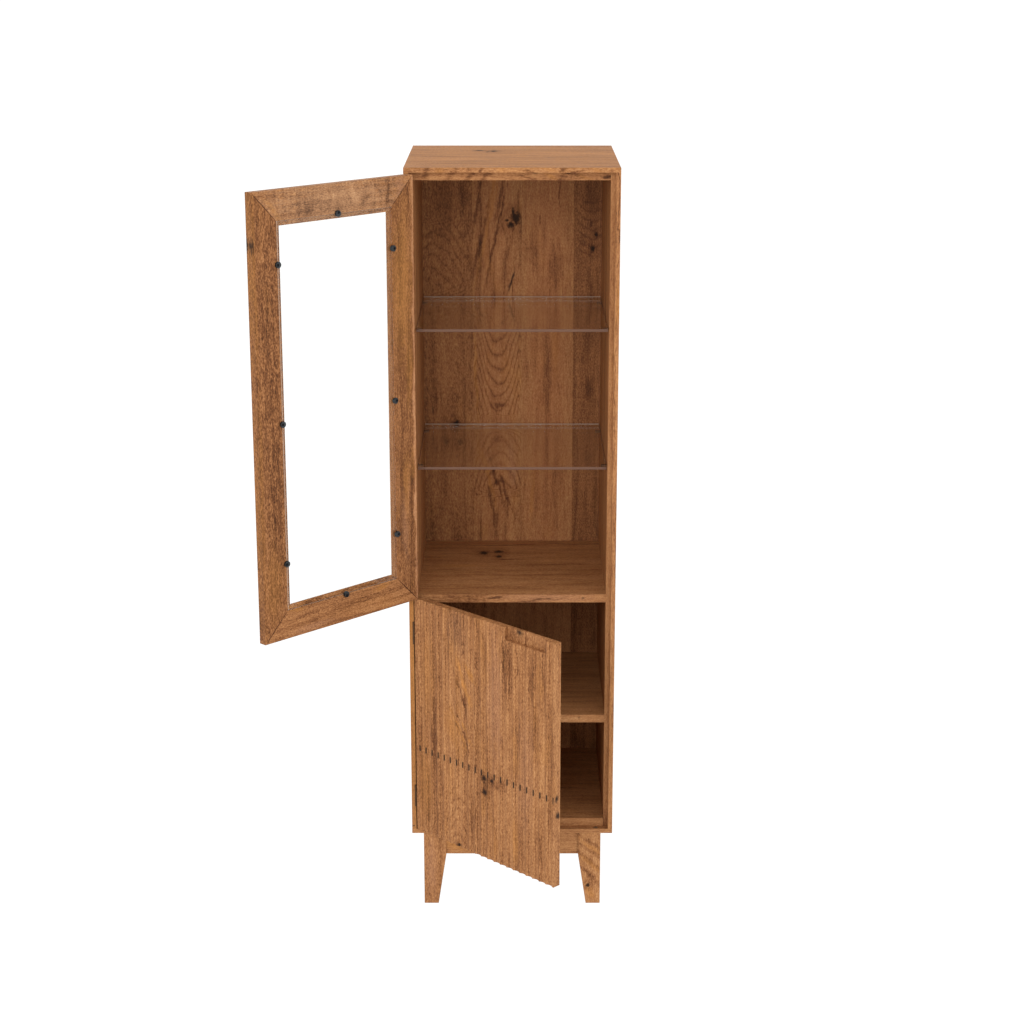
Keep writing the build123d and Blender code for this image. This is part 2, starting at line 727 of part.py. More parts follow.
# What stands still, and what swings with each door
standing = {
    "casing_top": casing_top,
    "casing_bottom": casing_bottom,
    "casing_left_side": casing_left_side,
    "casing_right_side": casing_right_side,
    "inner_left_side": inner_left_side,
    "inner_right_side": inner_right_side,
    "inner_top": inner_top,
    "inner_bottom": inner_bottom,
    "divider": divider,
    "lower_shelf": lower_shelf,
    "carcass_dowels": carcass_dowels,
    "back_screws": back_screws,
    "shelf_pins": shelf_pins,
    "corner_blocks": corner_blocks,
    "leg_bolts": leg_bolts,
    "base_screws": base_screws,
    "upper_strike_disc": upper_strike_disc,
    "lower_strike_disc": lower_strike_disc,
    "upper_hinge_case_leaves": hinge_case_leaves(upper_hinge_heights),
    "lower_hinge_case_leaves": hinge_case_leaves(lower_hinge_heights),
    "upper_hinge_pins": hinge_pins(upper_hinge_heights),
    "lower_hinge_pins": hinge_pins(lower_hinge_heights),
    "upper_hinge_case_screws": hinge_case_screws(upper_hinge_heights),
    "lower_hinge_case_screws": hinge_case_screws(lower_hinge_heights),
}
standing.update(legs)
standing.update(aprons)
standing.update(back_boards)
standing.update(glass_shelves)

upper_door = {
    "upper_door_pane": upper_door_pane,
    "glass_retainers": glass_retainers,
    "retainer_screws": retainer_screws,
    "mitre_splines": mitre_splines,
    "upper_door_magnet": upper_door_magnet,
    "upper_hinge_door_leaves": hinge_door_leaves(upper_hinge_heights),
    "upper_hinge_door_screws": hinge_door_screws(upper_hinge_heights),
}
upper_door.update(members)

lower_door = {
    "lower_door_panel": lower_door_panel,
    "lower_door_magnet": lower_door_magnet,
    "lower_hinge_door_leaves": hinge_door_leaves(lower_hinge_heights),
    "lower_hinge_door_screws": hinge_door_screws(lower_hinge_heights),
}


def swing_open(closed, opening):
    """The same piece with its door turned open about the hinge axis."""
    with BuildPart() as opened:
        add(closed.part.rotate(hinge_axis, -opening))
    return opened


finished = dict(standing)
for name, piece in upper_door.items():
    finished[name] = swing_open(piece, upper_door_opening)
for name, piece in lower_door.items():
    finished[name] = swing_open(piece, lower_door_opening)

os.makedirs("parts", exist_ok=True)
for name, piece in finished.items():
    piece.part.label = name
    export_step(piece.part, f"parts/{name}.step")
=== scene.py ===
from math import radians

import bmesh
import bpy
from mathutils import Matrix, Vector


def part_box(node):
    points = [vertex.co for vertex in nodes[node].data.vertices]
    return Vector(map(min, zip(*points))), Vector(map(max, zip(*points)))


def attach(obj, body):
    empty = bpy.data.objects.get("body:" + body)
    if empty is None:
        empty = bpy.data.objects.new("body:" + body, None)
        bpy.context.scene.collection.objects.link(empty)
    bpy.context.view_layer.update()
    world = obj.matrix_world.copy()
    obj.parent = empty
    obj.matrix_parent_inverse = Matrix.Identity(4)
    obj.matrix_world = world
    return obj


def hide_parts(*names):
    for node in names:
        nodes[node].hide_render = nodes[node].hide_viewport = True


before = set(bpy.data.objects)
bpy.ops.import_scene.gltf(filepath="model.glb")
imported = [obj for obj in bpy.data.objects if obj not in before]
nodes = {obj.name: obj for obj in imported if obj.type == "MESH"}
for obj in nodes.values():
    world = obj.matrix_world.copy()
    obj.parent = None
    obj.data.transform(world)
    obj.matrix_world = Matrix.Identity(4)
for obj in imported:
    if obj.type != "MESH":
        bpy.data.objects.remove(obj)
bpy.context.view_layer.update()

# Camera: it stands about four and a half metres in front of the cabinet, a little above the top
# board, and looks down on it.
camera_lens = bpy.data.cameras.new("camera")
camera_lens.lens = 73.7
camera_lens.sensor_width = 36.0
camera = bpy.data.objects.new("camera", camera_lens)
camera.location = (-0.0004, -4.5743, 2.1459)
camera.rotation_euler = (radians(74.3), 0.0, 0.0)
bpy.context.scene.collection.objects.link(camera)
bpy.context.scene.camera = camera

# Studio: a white floor that glows evenly, so that it carries no shadow, under an even white sky,
# with a broad soft light in front and a weaker one on the right. Colours are kept as they are
# lit, with no film look.
bpy.context.scene.view_settings.view_transform = "Standard"
sky = bpy.data.worlds.new("studio_sky")
sky.use_nodes = True
sky.node_tree.nodes["Background"].inputs["Color"].default_value = (1.0, 1.0, 1.0, 1.0)
sky.node_tree.nodes["Background"].inputs["Strength"].default_value = 1.16
bpy.context.scene.world = sky

floor_half = 60.0
floor_mesh = bpy.data.meshes.new("studio_floor")
floor_corners = [(x * floor_half, y * floor_half, 0) for x, y in ((-1, -1), (1, -1), (1, 1), (-1, 1))]
floor_mesh.from_pydata(floor_corners, [], [(0, 1, 2, 3)])
studio_floor = bpy.data.objects.new("studio_floor", floor_mesh)
bpy.context.scene.collection.objects.link(studio_floor)
floor_paint = bpy.data.materials.new("floor_paint")
floor_paint.use_nodes = True
floor_shader = floor_paint.node_tree.nodes["Principled BSDF"]
floor_shader.inputs["Base Color"].default_value = (0.05, 0.05, 0.05, 1.0)
floor_shader.inputs["Emission Color"].default_value = (1.0, 1.0, 1.0, 1.0)
floor_shader.inputs["Emission Strength"].default_value = 1.04
floor_shader.inputs["Roughness"].default_value = 0.9
floor_shader.inputs["Specular IOR Level"].default_value = 0.0
floor_mesh.materials.append(floor_paint)


def soft_light(name, place, aim, width, height, power):
    """A rectangular studio light that faces a point."""
    lamp_data = bpy.data.lights.new(name, "AREA")
    lamp_data.shape = "RECTANGLE"
    lamp_data.size = width
    lamp_data.size_y = height
    lamp_data.energy = power
    lamp = bpy.data.objects.new(name, lamp_data)
    lamp.location = place
    lamp.rotation_euler = (Vector(aim) - Vector(place)).to_track_quat("-Z", "Y").to_euler()
    bpy.context.scene.collection.objects.link(lamp)


cabinet_middle = (0.0, 0.0, 0.9)
soft_light("front_light", (-1.2, -5.4, 2.6), cabinet_middle, 3.0, 3.0, 100.0)
soft_light("right_light", (4.2, -3.2, 2.6), cabinet_middle, 2.4, 3.0, 30.0)


# Casing: the thin outer box of solid mango wood, four boards glued at the corners and oiled.
# Every wooden piece of the cabinet has the finish that mango_wood makes below, with its own
# grain, boards, knots and streaks.
class Shade:
    """A value, colour or shape inside a node tree. Arithmetic between shades adds the Math nodes."""

    def __init__(self, tree, socket=None):
        self.tree = tree
        self.socket = socket

    def node(self, kind, settings, inputs, output=0):
        """A new node with its settings first, then its sockets filled with values or linked."""
        made = self.tree.nodes.new(kind if "Node" in kind else "ShaderNode" + kind)
        for name, value in settings.items():
            if name == "stops":
                while len(made.color_ramp.elements) < len(value):
                    made.color_ramp.elements.new(1.0)
                for element, (position, colour) in zip(made.color_ramp.elements, value):
                    element.position = position
                    element.color = colour
            else:
                setattr(made, name, value)
        for place, value in inputs.items():
            if isinstance(value, Shade):
                self.tree.links.new(value.socket, made.inputs[place])
            else:
                made.inputs[place].default_value = value
        if output == "all":
            return [Shade(self.tree, socket) for socket in made.outputs]
        return Shade(self.tree, made.outputs[output])

    def maths(self, operation, *values):
        return self.node("Math", {"operation": operation}, dict(enumerate(values)))

    def __add__(self, other):
        return self.maths("ADD", self, other)

    def __radd__(self, other):
        return self.maths("ADD", other, self)

    def __sub__(self, other):
        return self.maths("SUBTRACT", self, other)

    def __rsub__(self, other):
        return self.maths("SUBTRACT", other, self)

    def __mul__(self, other):
        return self.maths("MULTIPLY", self, other)

    def __rmul__(self, other):
        return self.maths("MULTIPLY", other, self)

    def __truediv__(self, other):
        return self.maths("DIVIDE", self, other)

    def __pow__(self, other):
        return self.maths("POWER", self, other)

    def absolute(self):
        return self.maths("ABSOLUTE", self)

    def larger(self, other):
        return self.maths("MAXIMUM", self, other)

    def over(self, limit):
        """One where the value is over a limit, nought elsewhere."""
        return self.maths("GREATER_THAN", self, limit)

    def within(self, low, high):
        """One where the value lies between two limits, nought elsewhere."""
        return self.over(low) * (1 - self.over(high))

    def eased(self, low, high):
        """Nought at the first value, one at the second, and an eased rise between."""
        sockets = {"Value": self, "From Min": low, "From Max": high}
        return self.node("MapRange", {"interpolation_type": "SMOOTHSTEP"}, sockets)

    def mixed(self, first, second):
        """Between two colours, with this value as the share of the second."""
        return self.node("Mix", {"data_type": "RGBA"}, {0: self, 6: first, 7: second}, output=2)


def finish_of(name):
    """A new material, a starting point for its shades, and its main shader."""
    material = bpy.data.materials.new(name)
    material.use_nodes = True
    return material, Shade(material.node_tree), material.node_tree.nodes["Principled BSDF"]


def connect(shade, shader, socket):
    shade.tree.links.new(shade.socket, shader.inputs[socket])


door_hinge_axis = (-0.2155, -0.225, 0.0)
millimetre = 0.001
far = 1.0e6


def in_millimetres(start, hung=None):
    """The piece's own coordinates in millimetres. On a door hung open by so many degrees they run along the
    door from its hinge axis."""
    centre, turn = ((0.0, 0.0, 0.0), 0.0) if hung is None else (door_hinge_axis, -radians(hung))
    at = start.node("TexCoord", {}, {}, output="Object")
    sockets = {0: at, 1: centre, 2: (0.0, 0.0, turn), 3: (millimetre, millimetre, millimetre)}
    return start.node("Mapping", {"vector_type": "TEXTURE"}, sockets)


def spot(surface, centre, half_sizes, lean=0.0):
    """Where a point lies in an oval that leans by so many degrees, and how far out, with one at its rim."""
    sockets = {0: surface, 1: centre, 2: (0.0, 0.0, -radians(lean)), 3: half_sizes}
    near = surface.node("Mapping", {"vector_type": "TEXTURE"}, sockets)
    return near, surface.node("VectorMath", {"operation": "LENGTH"}, {0: near}, output="Value")


# Colours from the darkest grain to the lightest, and the tints of streaks and patches.
oiled_tones = [
    (0.00, (0.040, 0.015, 0.006, 1.0)),
    (0.28, (0.155, 0.057, 0.020, 1.0)),
    (0.50, (0.320, 0.137, 0.051, 1.0)),
    (0.72, (0.460, 0.222, 0.089, 1.0)),
    (1.00, (0.640, 0.370, 0.175, 1.0)),
]
oiled_tints = {
    "gold": (0.460, 0.192, 0.052, 1.0),
    "red": (0.250, 0.085, 0.032, 1.0),
    "black": (0.014, 0.008, 0.006, 1.0),
    "pink": (0.370, 0.175, 0.092, 1.0),
    "grey": (0.210, 0.135, 0.085, 1.0),
}


# Each kind of figure in the wood: its size in millimetres across and along the grain, and its detail.
figure_sizes = {
    "wander": (60.0, 240.0, 2.0),
    "ragged": (5.0, 8.0, 3.0),
    "drift": (26.0, 50.0, 2.0),
    "band": (22.0, 260.0, 3.0),
    "streak": (3.2, 30.0, 3.0),
    "speck": (1.9, 5.0, 2.0),
    "pore": (1.0, 11.0, 2.0),
    "curl": (34.0, 9.0, 2.0),
    "patch": (40.0, 120.0, 2.0),
}
noise_stride = (7.31, 3.17, 5.77)
wood_tone = 0.55
first_board_shift = 140.0
next_board_shift = 60.0

# A knot turns the grain aside round it. Its core and its halo fade in from a first distance from its middle
# to a second one, in half widths of the knot.
knot_pull = 0.75
knot_spread = 0.22
knot_raggedness = 1.7
knot_core = (1.35, 0.45)
knot_halo = (3.6, 0.6)
knot_darkness = 0.9
halo_darkness = 0.14

# An arch fades over its last millimetres at both ends, and its rings waver across the grain and along it.
arch_fade = 25.0
arch_waver = 16.0
arch_jitter = 4.0

# A nick fades in from 2.1 mm beside its middle to 1 mm. Painted shade darkens the flank of each ridge a
# little, and a painted highlight lightens its crest a little.
nick_rim = (2.1, 1.0)
nick_darkness = 0.9
flank_offset = 2.9
painted_flank_shade = 0.11
painted_crest_highlight = 0.04

# A seam has a sharp rim. A streak or blotch fades all the way to its middle, and its place drifts
# with the grain.
seam_rim = (1.2, 0.7)
mark_rim = (1.3, 0.2)
mark_drift = 9.0


def mango_wood(
    name, axes, seed, hung=None, tone=0.0, boards=(), knots=(), marks=(), arches=(), nicks=None, bend=16.0,
    bands=0.5, lines=0.13, line_gap=12.0, streaks=0.42, specks=0.62, pores=0.12, figure=0.10, gold=0.18,
):
    """Oiled mango wood. axes names the directions across the board, through it and along its grain.
    boards are the glued staves: where each starts and how its tone differs. A knot is its place across
    and along, its half width and its length against that. An arch is a nest of curved rings: its
    middle, half width, gap and rise, and its span along the grain. nicks are the first and last place
    across, the pitch, the height and the half length. marks are streaks and blotches: the plane they
    lie in, the span of a third direction they are kept to, and for each its place, half sizes, lean,
    tint and strength. The other values say how strong each figure is, how far the grain bends and how
    far apart its ring lines lie."""
    material, start, shader = finish_of(name)
    by_axis = dict(zip("xyz", start.node("SeparateXYZ", {}, {0: in_millimetres(start, hung)}, output="all")))
    across, through, along = (by_axis[axis] for axis in axes)

    def cloud(vector, kind, output=0):
        """Noise with the size of a kind of figure."""
        width, length, detail = figure_sizes[kind]
        place = tuple(seed * stride for stride in noise_stride)
        scale = (1.0 / width, 1.0 / width, 1.0 / length)
        scaled = start.node("Mapping", {}, {0: vector, 1: place, 3: scale})
        sockets = {"Vector": scaled, "Scale": 1.0, "Detail": detail, "Roughness": 0.6}
        return start.node("TexNoise", {}, sockets, output=output)

    straight = start.node("CombineXYZ", {}, {0: across, 1: through, 2: along})
    wander = cloud(straight, "wander")
    ragged = cloud(straight, "ragged")
    sockets = {0: cloud(straight, "drift", "Color"), 1: (-mark_drift, -mark_drift, 0.0)}
    sockets[3] = (2.0 * mark_drift, 2.0 * mark_drift, 0.0)
    drift = start.node("Mapping", {}, sockets)
    board_tone = tone
    flow = across + (wander - 0.5) * bend
    for number, (begins, step) in enumerate(boards):
        past = across.over(begins)
        board_tone = past * step + board_tone
        flow = flow + past * (first_board_shift + next_board_shift * number)

    core = ragged * 0.0
    halo = ragged * 0.0
    for knot_across, knot_along, size, length in knots:
        near, reach = spot(straight, (knot_across, 0.0, knot_along), (size, far, size * length))
        fading = reach * reach * -knot_spread
        aside = start.node("SeparateXYZ", {}, {0: near})
        flow = flow - aside * fading.maths("EXPONENT", fading) * (size * knot_pull)
        rough_reach = reach + (ragged - 0.5) * knot_raggedness
        core = core.larger(rough_reach.eased(*knot_core))
        halo = halo.larger(rough_reach.eased(*knot_halo))

    grain = start.node("CombineXYZ", {}, {0: flow, 1: through, 2: along})
    band = cloud(grain, "band")
    streak = cloud(grain, "streak")
    speck = cloud(grain, "speck")
    pore = cloud(grain, "pore").eased(0.54, 0.70)
    curl = cloud(grain, "curl")
    patch = cloud(grain, "patch")

    ring = flow / line_gap + through / (line_gap * 1.4) + (band - 0.5) * 4.0
    shown = patch.eased(0.30, 0.62)
    for arch_across, arch_along, half_width, gap, rise, low, high in arches:
        bow = (across - arch_across + (wander - 0.5) * arch_waver) / half_width
        level = (along - arch_along + (ragged - 0.5) * arch_jitter) / gap + (patch - 0.5) * 3.0
        inside = bow.absolute().eased(1.6, 1.0)
        inside = inside * along.eased(low - arch_fade, low) * along.eased(high, high - arch_fade)
        ring = start.node("Mix", {}, {0: inside, 2: ring, 3: level - bow * bow * (rise / gap)})
        shown = shown.larger(inside * (0.35 + patch))
    line = ring.maths("PINGPONG", ring, 1.0) ** 3.0 * shown

    value = (band - 0.5) * bands + (streak - 0.5) * streaks + (speck - 0.5) * specks
    value = value + (curl - 0.5) * figure - line * lines - pore * pores
    value = value - halo * halo_darkness + (wood_tone + board_tone)
    tinted = {"gold": patch.eased(0.54, 0.78) * gold}
    if nicks:
        first, last, pitch, height, tall = nicks
        phase = (across - first) / pitch + 0.5
        aside = (phase.maths("FRACT", phase) - 0.5) * pitch
        sawn = aside.absolute().eased(*nick_rim) * (along - height).absolute().eased(tall, tall * 0.6)
        tinted["black"] = sawn * (1 - across.over(last)) * nick_darkness
        # Painted shade on each ridge's flank and a painted highlight on its crest deepen the flutes.
        flank = aside - flank_offset
        value = value - flank.eased(0.0, 0.9) * flank.eased(3.0, 1.4) * painted_flank_shade
        value = value + flank.eased(-3.8, -1.8) * flank.eased(0.2, -0.8) * painted_crest_highlight
    for plane, span, spots in marks:
        flat = start.node("CombineXYZ", {}, {0: by_axis[plane[0]], 1: by_axis[plane[1]]})
        drifting = start.node("VectorMath", {"operation": "ADD"}, {0: flat, 1: drift})
        kept = None
        if span:
            third, low, high = span
            kept = by_axis[third].within(low, high)
        for first, second, half_first, half_second, lean, tint, strength in spots:
            surface = flat if tint == "seam" else drifting
            reach = spot(surface, (first, second, 0.0), (half_first, half_second, 1.0), lean)[1]
            if tint == "seam":
                mask = reach.eased(*seam_rim) * strength
            else:
                mask = (reach + (ragged - 0.5) * 1.1 + (streak - 0.5) * 1.3).eased(*mark_rim) * strength
            if kept:
                mask = mask * kept
            if tint in ("tone", "seam"):
                value = value + mask
            else:
                tinted[tint] = tinted[tint].larger(mask) if tint in tinted else mask

    colour = start.node("ValToRGB", {"stops": oiled_tones}, {0: value})
    darkest = core * knot_darkness
    if "black" in tinted:
        darkest = darkest.larger(tinted.pop("black"))
    for tint, mask in tinted.items():
        settings = {"data_type": "RGBA", "blend_type": "COLOR"}
        colour = start.node("Mix", settings, {0: mask, 6: colour, 7: oiled_tints[tint]}, output=2)
        colour = (mask * 0.3).mixed(colour, oiled_tints[tint])
    connect(darkest.mixed(colour, oiled_tints["black"]), shader, "Base Color")
    connect(0.62 + (streak - 0.5) * 0.25 + core * 0.15, shader, "Roughness")
    relief = streak * 0.4 + speck * 0.3 - pore * 0.6 - line * 0.2 - core * 1.2
    bump = start.node("Bump", {}, {"Strength": 0.35, "Distance": 0.0005, "Height": relief})
    connect(bump, shader, "Normal")
    shader.inputs["Specular IOR Level"].default_value = 0.12
    return material


def dress(node_name, material):
    """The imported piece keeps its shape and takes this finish."""
    mesh = nodes[node_name].data
    mesh.materials.clear()
    mesh.materials.append(material)


dress("casing_top", mango_wood(
    "top_board_wood", "yzx", 1,
    tone=0.01, bend=26.0, lines=0.22, line_gap=16.0, specks=0.85, figure=0.08, gold=0.3,
    knots=[(114.8, -73.7, 7.0, 1.1), (100.0, -41.0, 13.0, 0.55), (86.0, -54.0, 5.0, 1.0)],
    marks=[
        ("xy", ("z", 1659.0, 1661.0), [
            (-60.0, 104.0, 60.0, 9.0, 2.0, "tone", -0.16), (60.0, -20.0, 190.0, 8.0, 1.5, "tone", -0.20),
            (-80.0, -60.0, 130.0, 14.0, -2.0, "tone", 0.10), (110.0, 70.0, 110.0, 22.0, 3.0, "tone", 0.08),
            (-120.0, -140.0, 90.0, 12.0, -4.0, "tone", -0.10), (90.0, -165.0, 120.0, 9.0, 2.0, "gold", 0.5),
            # The gold tint and slight darkening over the whole top face are painted against the pale sheen
            # of the sky on it.
            (0.0, 0.0, 400.0, 400.0, 0.0, "gold", 0.8), (0.0, 0.0, 400.0, 400.0, 0.0, "tone", -0.03),
        ]),
        ("xz", ("y", -226.0, -224.0), [
            (-178.0, 1655.0, 6.0, 16.0, 38.0, "tone", -0.18),
            (-150.0, 1655.0, 8.0, 16.0, 40.0, "gold", 0.45),
            (-120.0, 1655.0, 6.0, 16.0, 36.0, "tone", -0.16),
            (-92.0, 1655.0, 7.0, 16.0, 38.0, "tone", -0.15),
            (-62.0, 1655.0, 4.5, 14.0, 42.0, "tone", -0.22), (-20.0, 1656.0, 10.0, 12.0, 35.0, "gold", 0.4),
            (36.0, 1654.0, 12.0, 3.6, 10.0, "tone", -0.24), (74.0, 1656.0, 20.0, 4.0, 12.0, "gold", 0.45),
            (104.0, 1655.0, 7.0, 12.0, 55.0, "tone", -0.18),
            (140.0, 1653.0, 22.0, 3.2, -8.0, "tone", -0.22),
            (176.0, 1656.0, 16.0, 4.0, 14.0, "gold", 0.4), (206.0, 1653.0, 8.0, 4.0, 0.0, "tone", -0.20),
        ]),
    ],
))
dress("casing_bottom", mango_wood("bottom_board_wood", "yzx", 2, tone=-0.02, figure=0.08))
dress("casing_left_side", mango_wood(
    "left_board_wood", "yxz", 3, tone=0.03, boards=[(-80.0, -0.05), (65.0, 0.06)], line_gap=15.0,
    knots=[(20.0, 1240.0, 7.0, 2.0), (-150.0, 620.0, 5.0, 2.2), (120.0, 880.0, 8.0, 1.8)],
    marks=[
        ("xz", ("y", -226.0, -224.0), [
            (-221.0, 191.0, 5.0, 2.2, 0.0, "black", 0.7), (-220.0, 900.0, 40.0, 1000.0, 0.0, "gold", 0.9),
            (-220.0, 900.0, 40.0, 1000.0, 0.0, "tone", -0.07),
        ]),
        # The black strip on the inner face beside the front edge is painted shade, for the dark gap between
        # the casing and the hung doors.
        ("yz", ("x", -215.6, -214.0), [(-216.0, 455.0, 26.0, 800.0, 0.0, "black", 0.8)]),
    ],
))
dress("casing_right_side", mango_wood(
    "right_board_wood", "yxz", 4, tone=0.05, boards=[(-95.0, -0.04), (40.0, 0.05)], line_gap=15.0,
    knots=[(-40.0, 1020.0, 7.0, 2.1), (150.0, 520.0, 6.0, 2.0), (90.0, 1380.0, 5.0, 2.4)],
    marks=[("xz", ("y", -226.0, -224.0), [
        (222.0, 1560.0, 1.6, 120.0, 0.0, "tone", -0.30), (218.0, 1180.0, 1.4, 160.0, 0.0, "tone", -0.22),
        (222.0, 820.0, 1.4, 120.0, 0.0, "tone", -0.26), (219.0, 460.0, 1.6, 140.0, 0.0, "gold", 0.5),
        (220.0, 900.0, 40.0, 1000.0, 0.0, "tone", -0.07), (220.0, 1380.0, 3.0, 60.0, 3.0, "gold", 0.6),
    ])],
))

# Inner carcass: two sides, a top and a floor of the same wood, dowelled together behind the doors. A fixed
# divider and a fixed lower shelf are housed into the sides.
dress("inner_left_side", mango_wood("inner_left_wood", "yxz", 5, tone=-0.03, line_gap=14.0, marks=[
    ("yz", None, [
        (-120.0, 1100.0, 18.0, 260.0, 2.0, "red", 0.5), (60.0, 1350.0, 14.0, 200.0, -2.0, "tone", -0.12),
    ]),
]))
dress("inner_right_side", mango_wood("inner_right_wood", "yxz", 6, tone=-0.015, line_gap=14.0, marks=[
    ("yz", None, [
        (-150.0, 1150.0, 26.0, 420.0, 0.0, "red", 0.5), (-20.0, 1200.0, 30.0, 300.0, 1.0, "tone", -0.10),
    ]),
    ("xz", ("y", -206.0, -204.0), [(209.0, 900.0, 30.0, 900.0, 0.0, "tone", 0.06)]),
]))
dress("inner_top", mango_wood("inner_top_wood", "yzx", 7, tone=0.0, figure=0.16, marks=[
    ("xz", ("y", -206.0, -204.0), [
        (-176.0, 1642.0, 7.0, 22.0, 38.0, "tone", -0.16), (-128.0, 1642.0, 7.0, 22.0, 38.0, "tone", -0.15),
        (-88.0, 1642.0, 6.0, 22.0, 40.0, "tone", -0.19), (-52.0, 1643.0, 6.0, 20.0, 44.0, "tone", -0.19),
        (45.0, 1647.0, 8.0, 3.4, 12.0, "black", 0.6), (80.0, 1640.0, 18.0, 5.0, 18.0, "gold", 0.5),
        (30.0, 1636.0, 30.0, 3.6, 12.0, "tone", -0.15), (120.0, 1645.0, 26.0, 3.0, 14.0, "tone", -0.20),
        (104.0, 1640.0, 7.0, 14.0, 60.0, "tone", -0.16), (150.0, 1638.0, 20.0, 3.0, 10.0, "gold", 0.4),
        (196.0, 1641.0, 9.0, 6.0, 0.0, "tone", -0.36),
    ]),
]))
dress("inner_bottom", mango_wood("cabinet_floor_wood", "yzx", 8, tone=0.06, lines=0.12))
dress("divider", mango_wood(
    "divider_wood", "yzx", 9, tone=0.0, bend=20.0, lines=0.12, line_gap=17.0, bands=0.4,
    knots=[(109.3, -66.0, 14.0, 0.8), (121.5, -31.5, 13.0, 0.8), (82.0, -31.5, 10.0, 0.7)],
    marks=[
        ("xy", ("z", 729.0, 731.0), [
            (-60.0, 190.0, 210.0, 4.0, 2.5, "red", 0.9), (40.0, 176.0, 200.0, 3.0, -3.0, "tone", -0.26),
            (120.0, 186.0, 90.0, 3.0, 4.0, "black", 0.35), (110.0, 20.0, 120.0, 7.0, 1.0, "tone", -0.16),
            (-10.0, 56.0, 40.0, 5.0, -5.0, "tone", -0.20), (-120.0, 10.0, 70.0, 12.0, 0.0, "gold", 0.4),
            (90.0, -60.0, 140.0, 6.0, -1.5, "tone", -0.12), (-60.0, -150.0, 150.0, 9.0, 1.0, "tone", -0.10),
        ]),
        ("xz", ("y", -206.0, -204.0), [
            # On the front edge the darker left part is a painted shadow of the open door; the pink right
            # part is the board's own tone.
            (-110.0, 721.0, 76.0, 14.0, 0.0, "tone", -0.16), (70.0, 722.0, 120.0, 12.0, 0.0, "pink", 0.35),
            (-34.0, 722.0, 22.0, 3.0, -18.0, "tone", -0.30), (60.0, 716.0, 60.0, 2.0, -4.0, "tone", -0.24),
            (155.0, 722.0, 4.0, 3.0, 0.0, "black", 0.5),
        ]),
    ],
))
dress("lower_shelf", mango_wood("lower_shelf_wood", "yzx", 10, tone=0.05, lines=0.12, line_gap=15.0, marks=[
    ("xz", ("y", -206.0, -204.0), [(150.0, 441.0, 4.0, 3.0, 0.0, "black", 0.5)]),
]))


# Dowels and splines: pegs and thin strips of plain pale beech. They are glued into the inner carcass and
# into the mitres of the upper door, and are hidden in the joints.
def beech(name, axes, seed):
    """Pale straight-grained beech with its short brown rays."""
    material, start, shader = finish_of(name)
    by_axis = dict(zip("xyz", start.node("SeparateXYZ", {}, {0: in_millimetres(start)}, output="all")))
    across, through, along = (by_axis[axis] for axis in axes)
    spread = start.node("CombineXYZ", {}, {0: across / 1.2, 1: through / 1.2, 2: along / 9.0})
    fibre = start.node("TexNoise", {}, {"Vector": spread, "Scale": 1.0, "Detail": 3.0})
    rays = fibre.eased(0.56, 0.66)
    colour = fibre.mixed((0.56, 0.36, 0.20, 1.0), (0.72, 0.52, 0.32, 1.0))
    connect((rays * 0.6).mixed(colour, (0.36, 0.20, 0.10, 1.0)), shader, "Base Color")
    connect(0.6 + rays * 0.2, shader, "Roughness")
    return material


dress("carcass_dowels", beech("dowel_beech", "yzx", 1))
dress("mitre_splines", beech("spline_beech", "xyz", 2))

# Back panel: four upright solid boards of unlike tone, the second with bold arched figure. They are let in
# behind the carcass and screwed to it.
dress("back_board_1", mango_wood(
    "back_wood_1", "xyz", 11, tone=-0.11, bend=30.0, streaks=0.26, specks=0.75, bands=0.3,
    knots=[(-129.6, 1017.2, 6.5, 1.3), (-154.0, 972.0, 6.0, 1.2), (-122.0, 971.0, 7.0, 1.2)],
    arches=[(-184.0, 1425.0, 64.0, 15.0, -64.0, 1340.0, 1500.0)],
    marks=[("xz", None, [
        (-150.0, 1200.0, 80.0, 700.0, 0.0, "red", 0.12),
        (-185.5, 1048.0, 2.0, 14.0, 0.0, "black", 0.6), (-160.0, 1530.0, 30.0, 90.0, 0.0, "tone", -0.10),
        (-110.0, 1560.0, 14.0, 80.0, 4.0, "tone", -0.14), (-150.0, 1200.0, 34.0, 150.0, 0.0, "tone", 0.07),
        (-120.0, 860.0, 26.0, 100.0, 0.0, "tone", 0.05),
    ])],
))
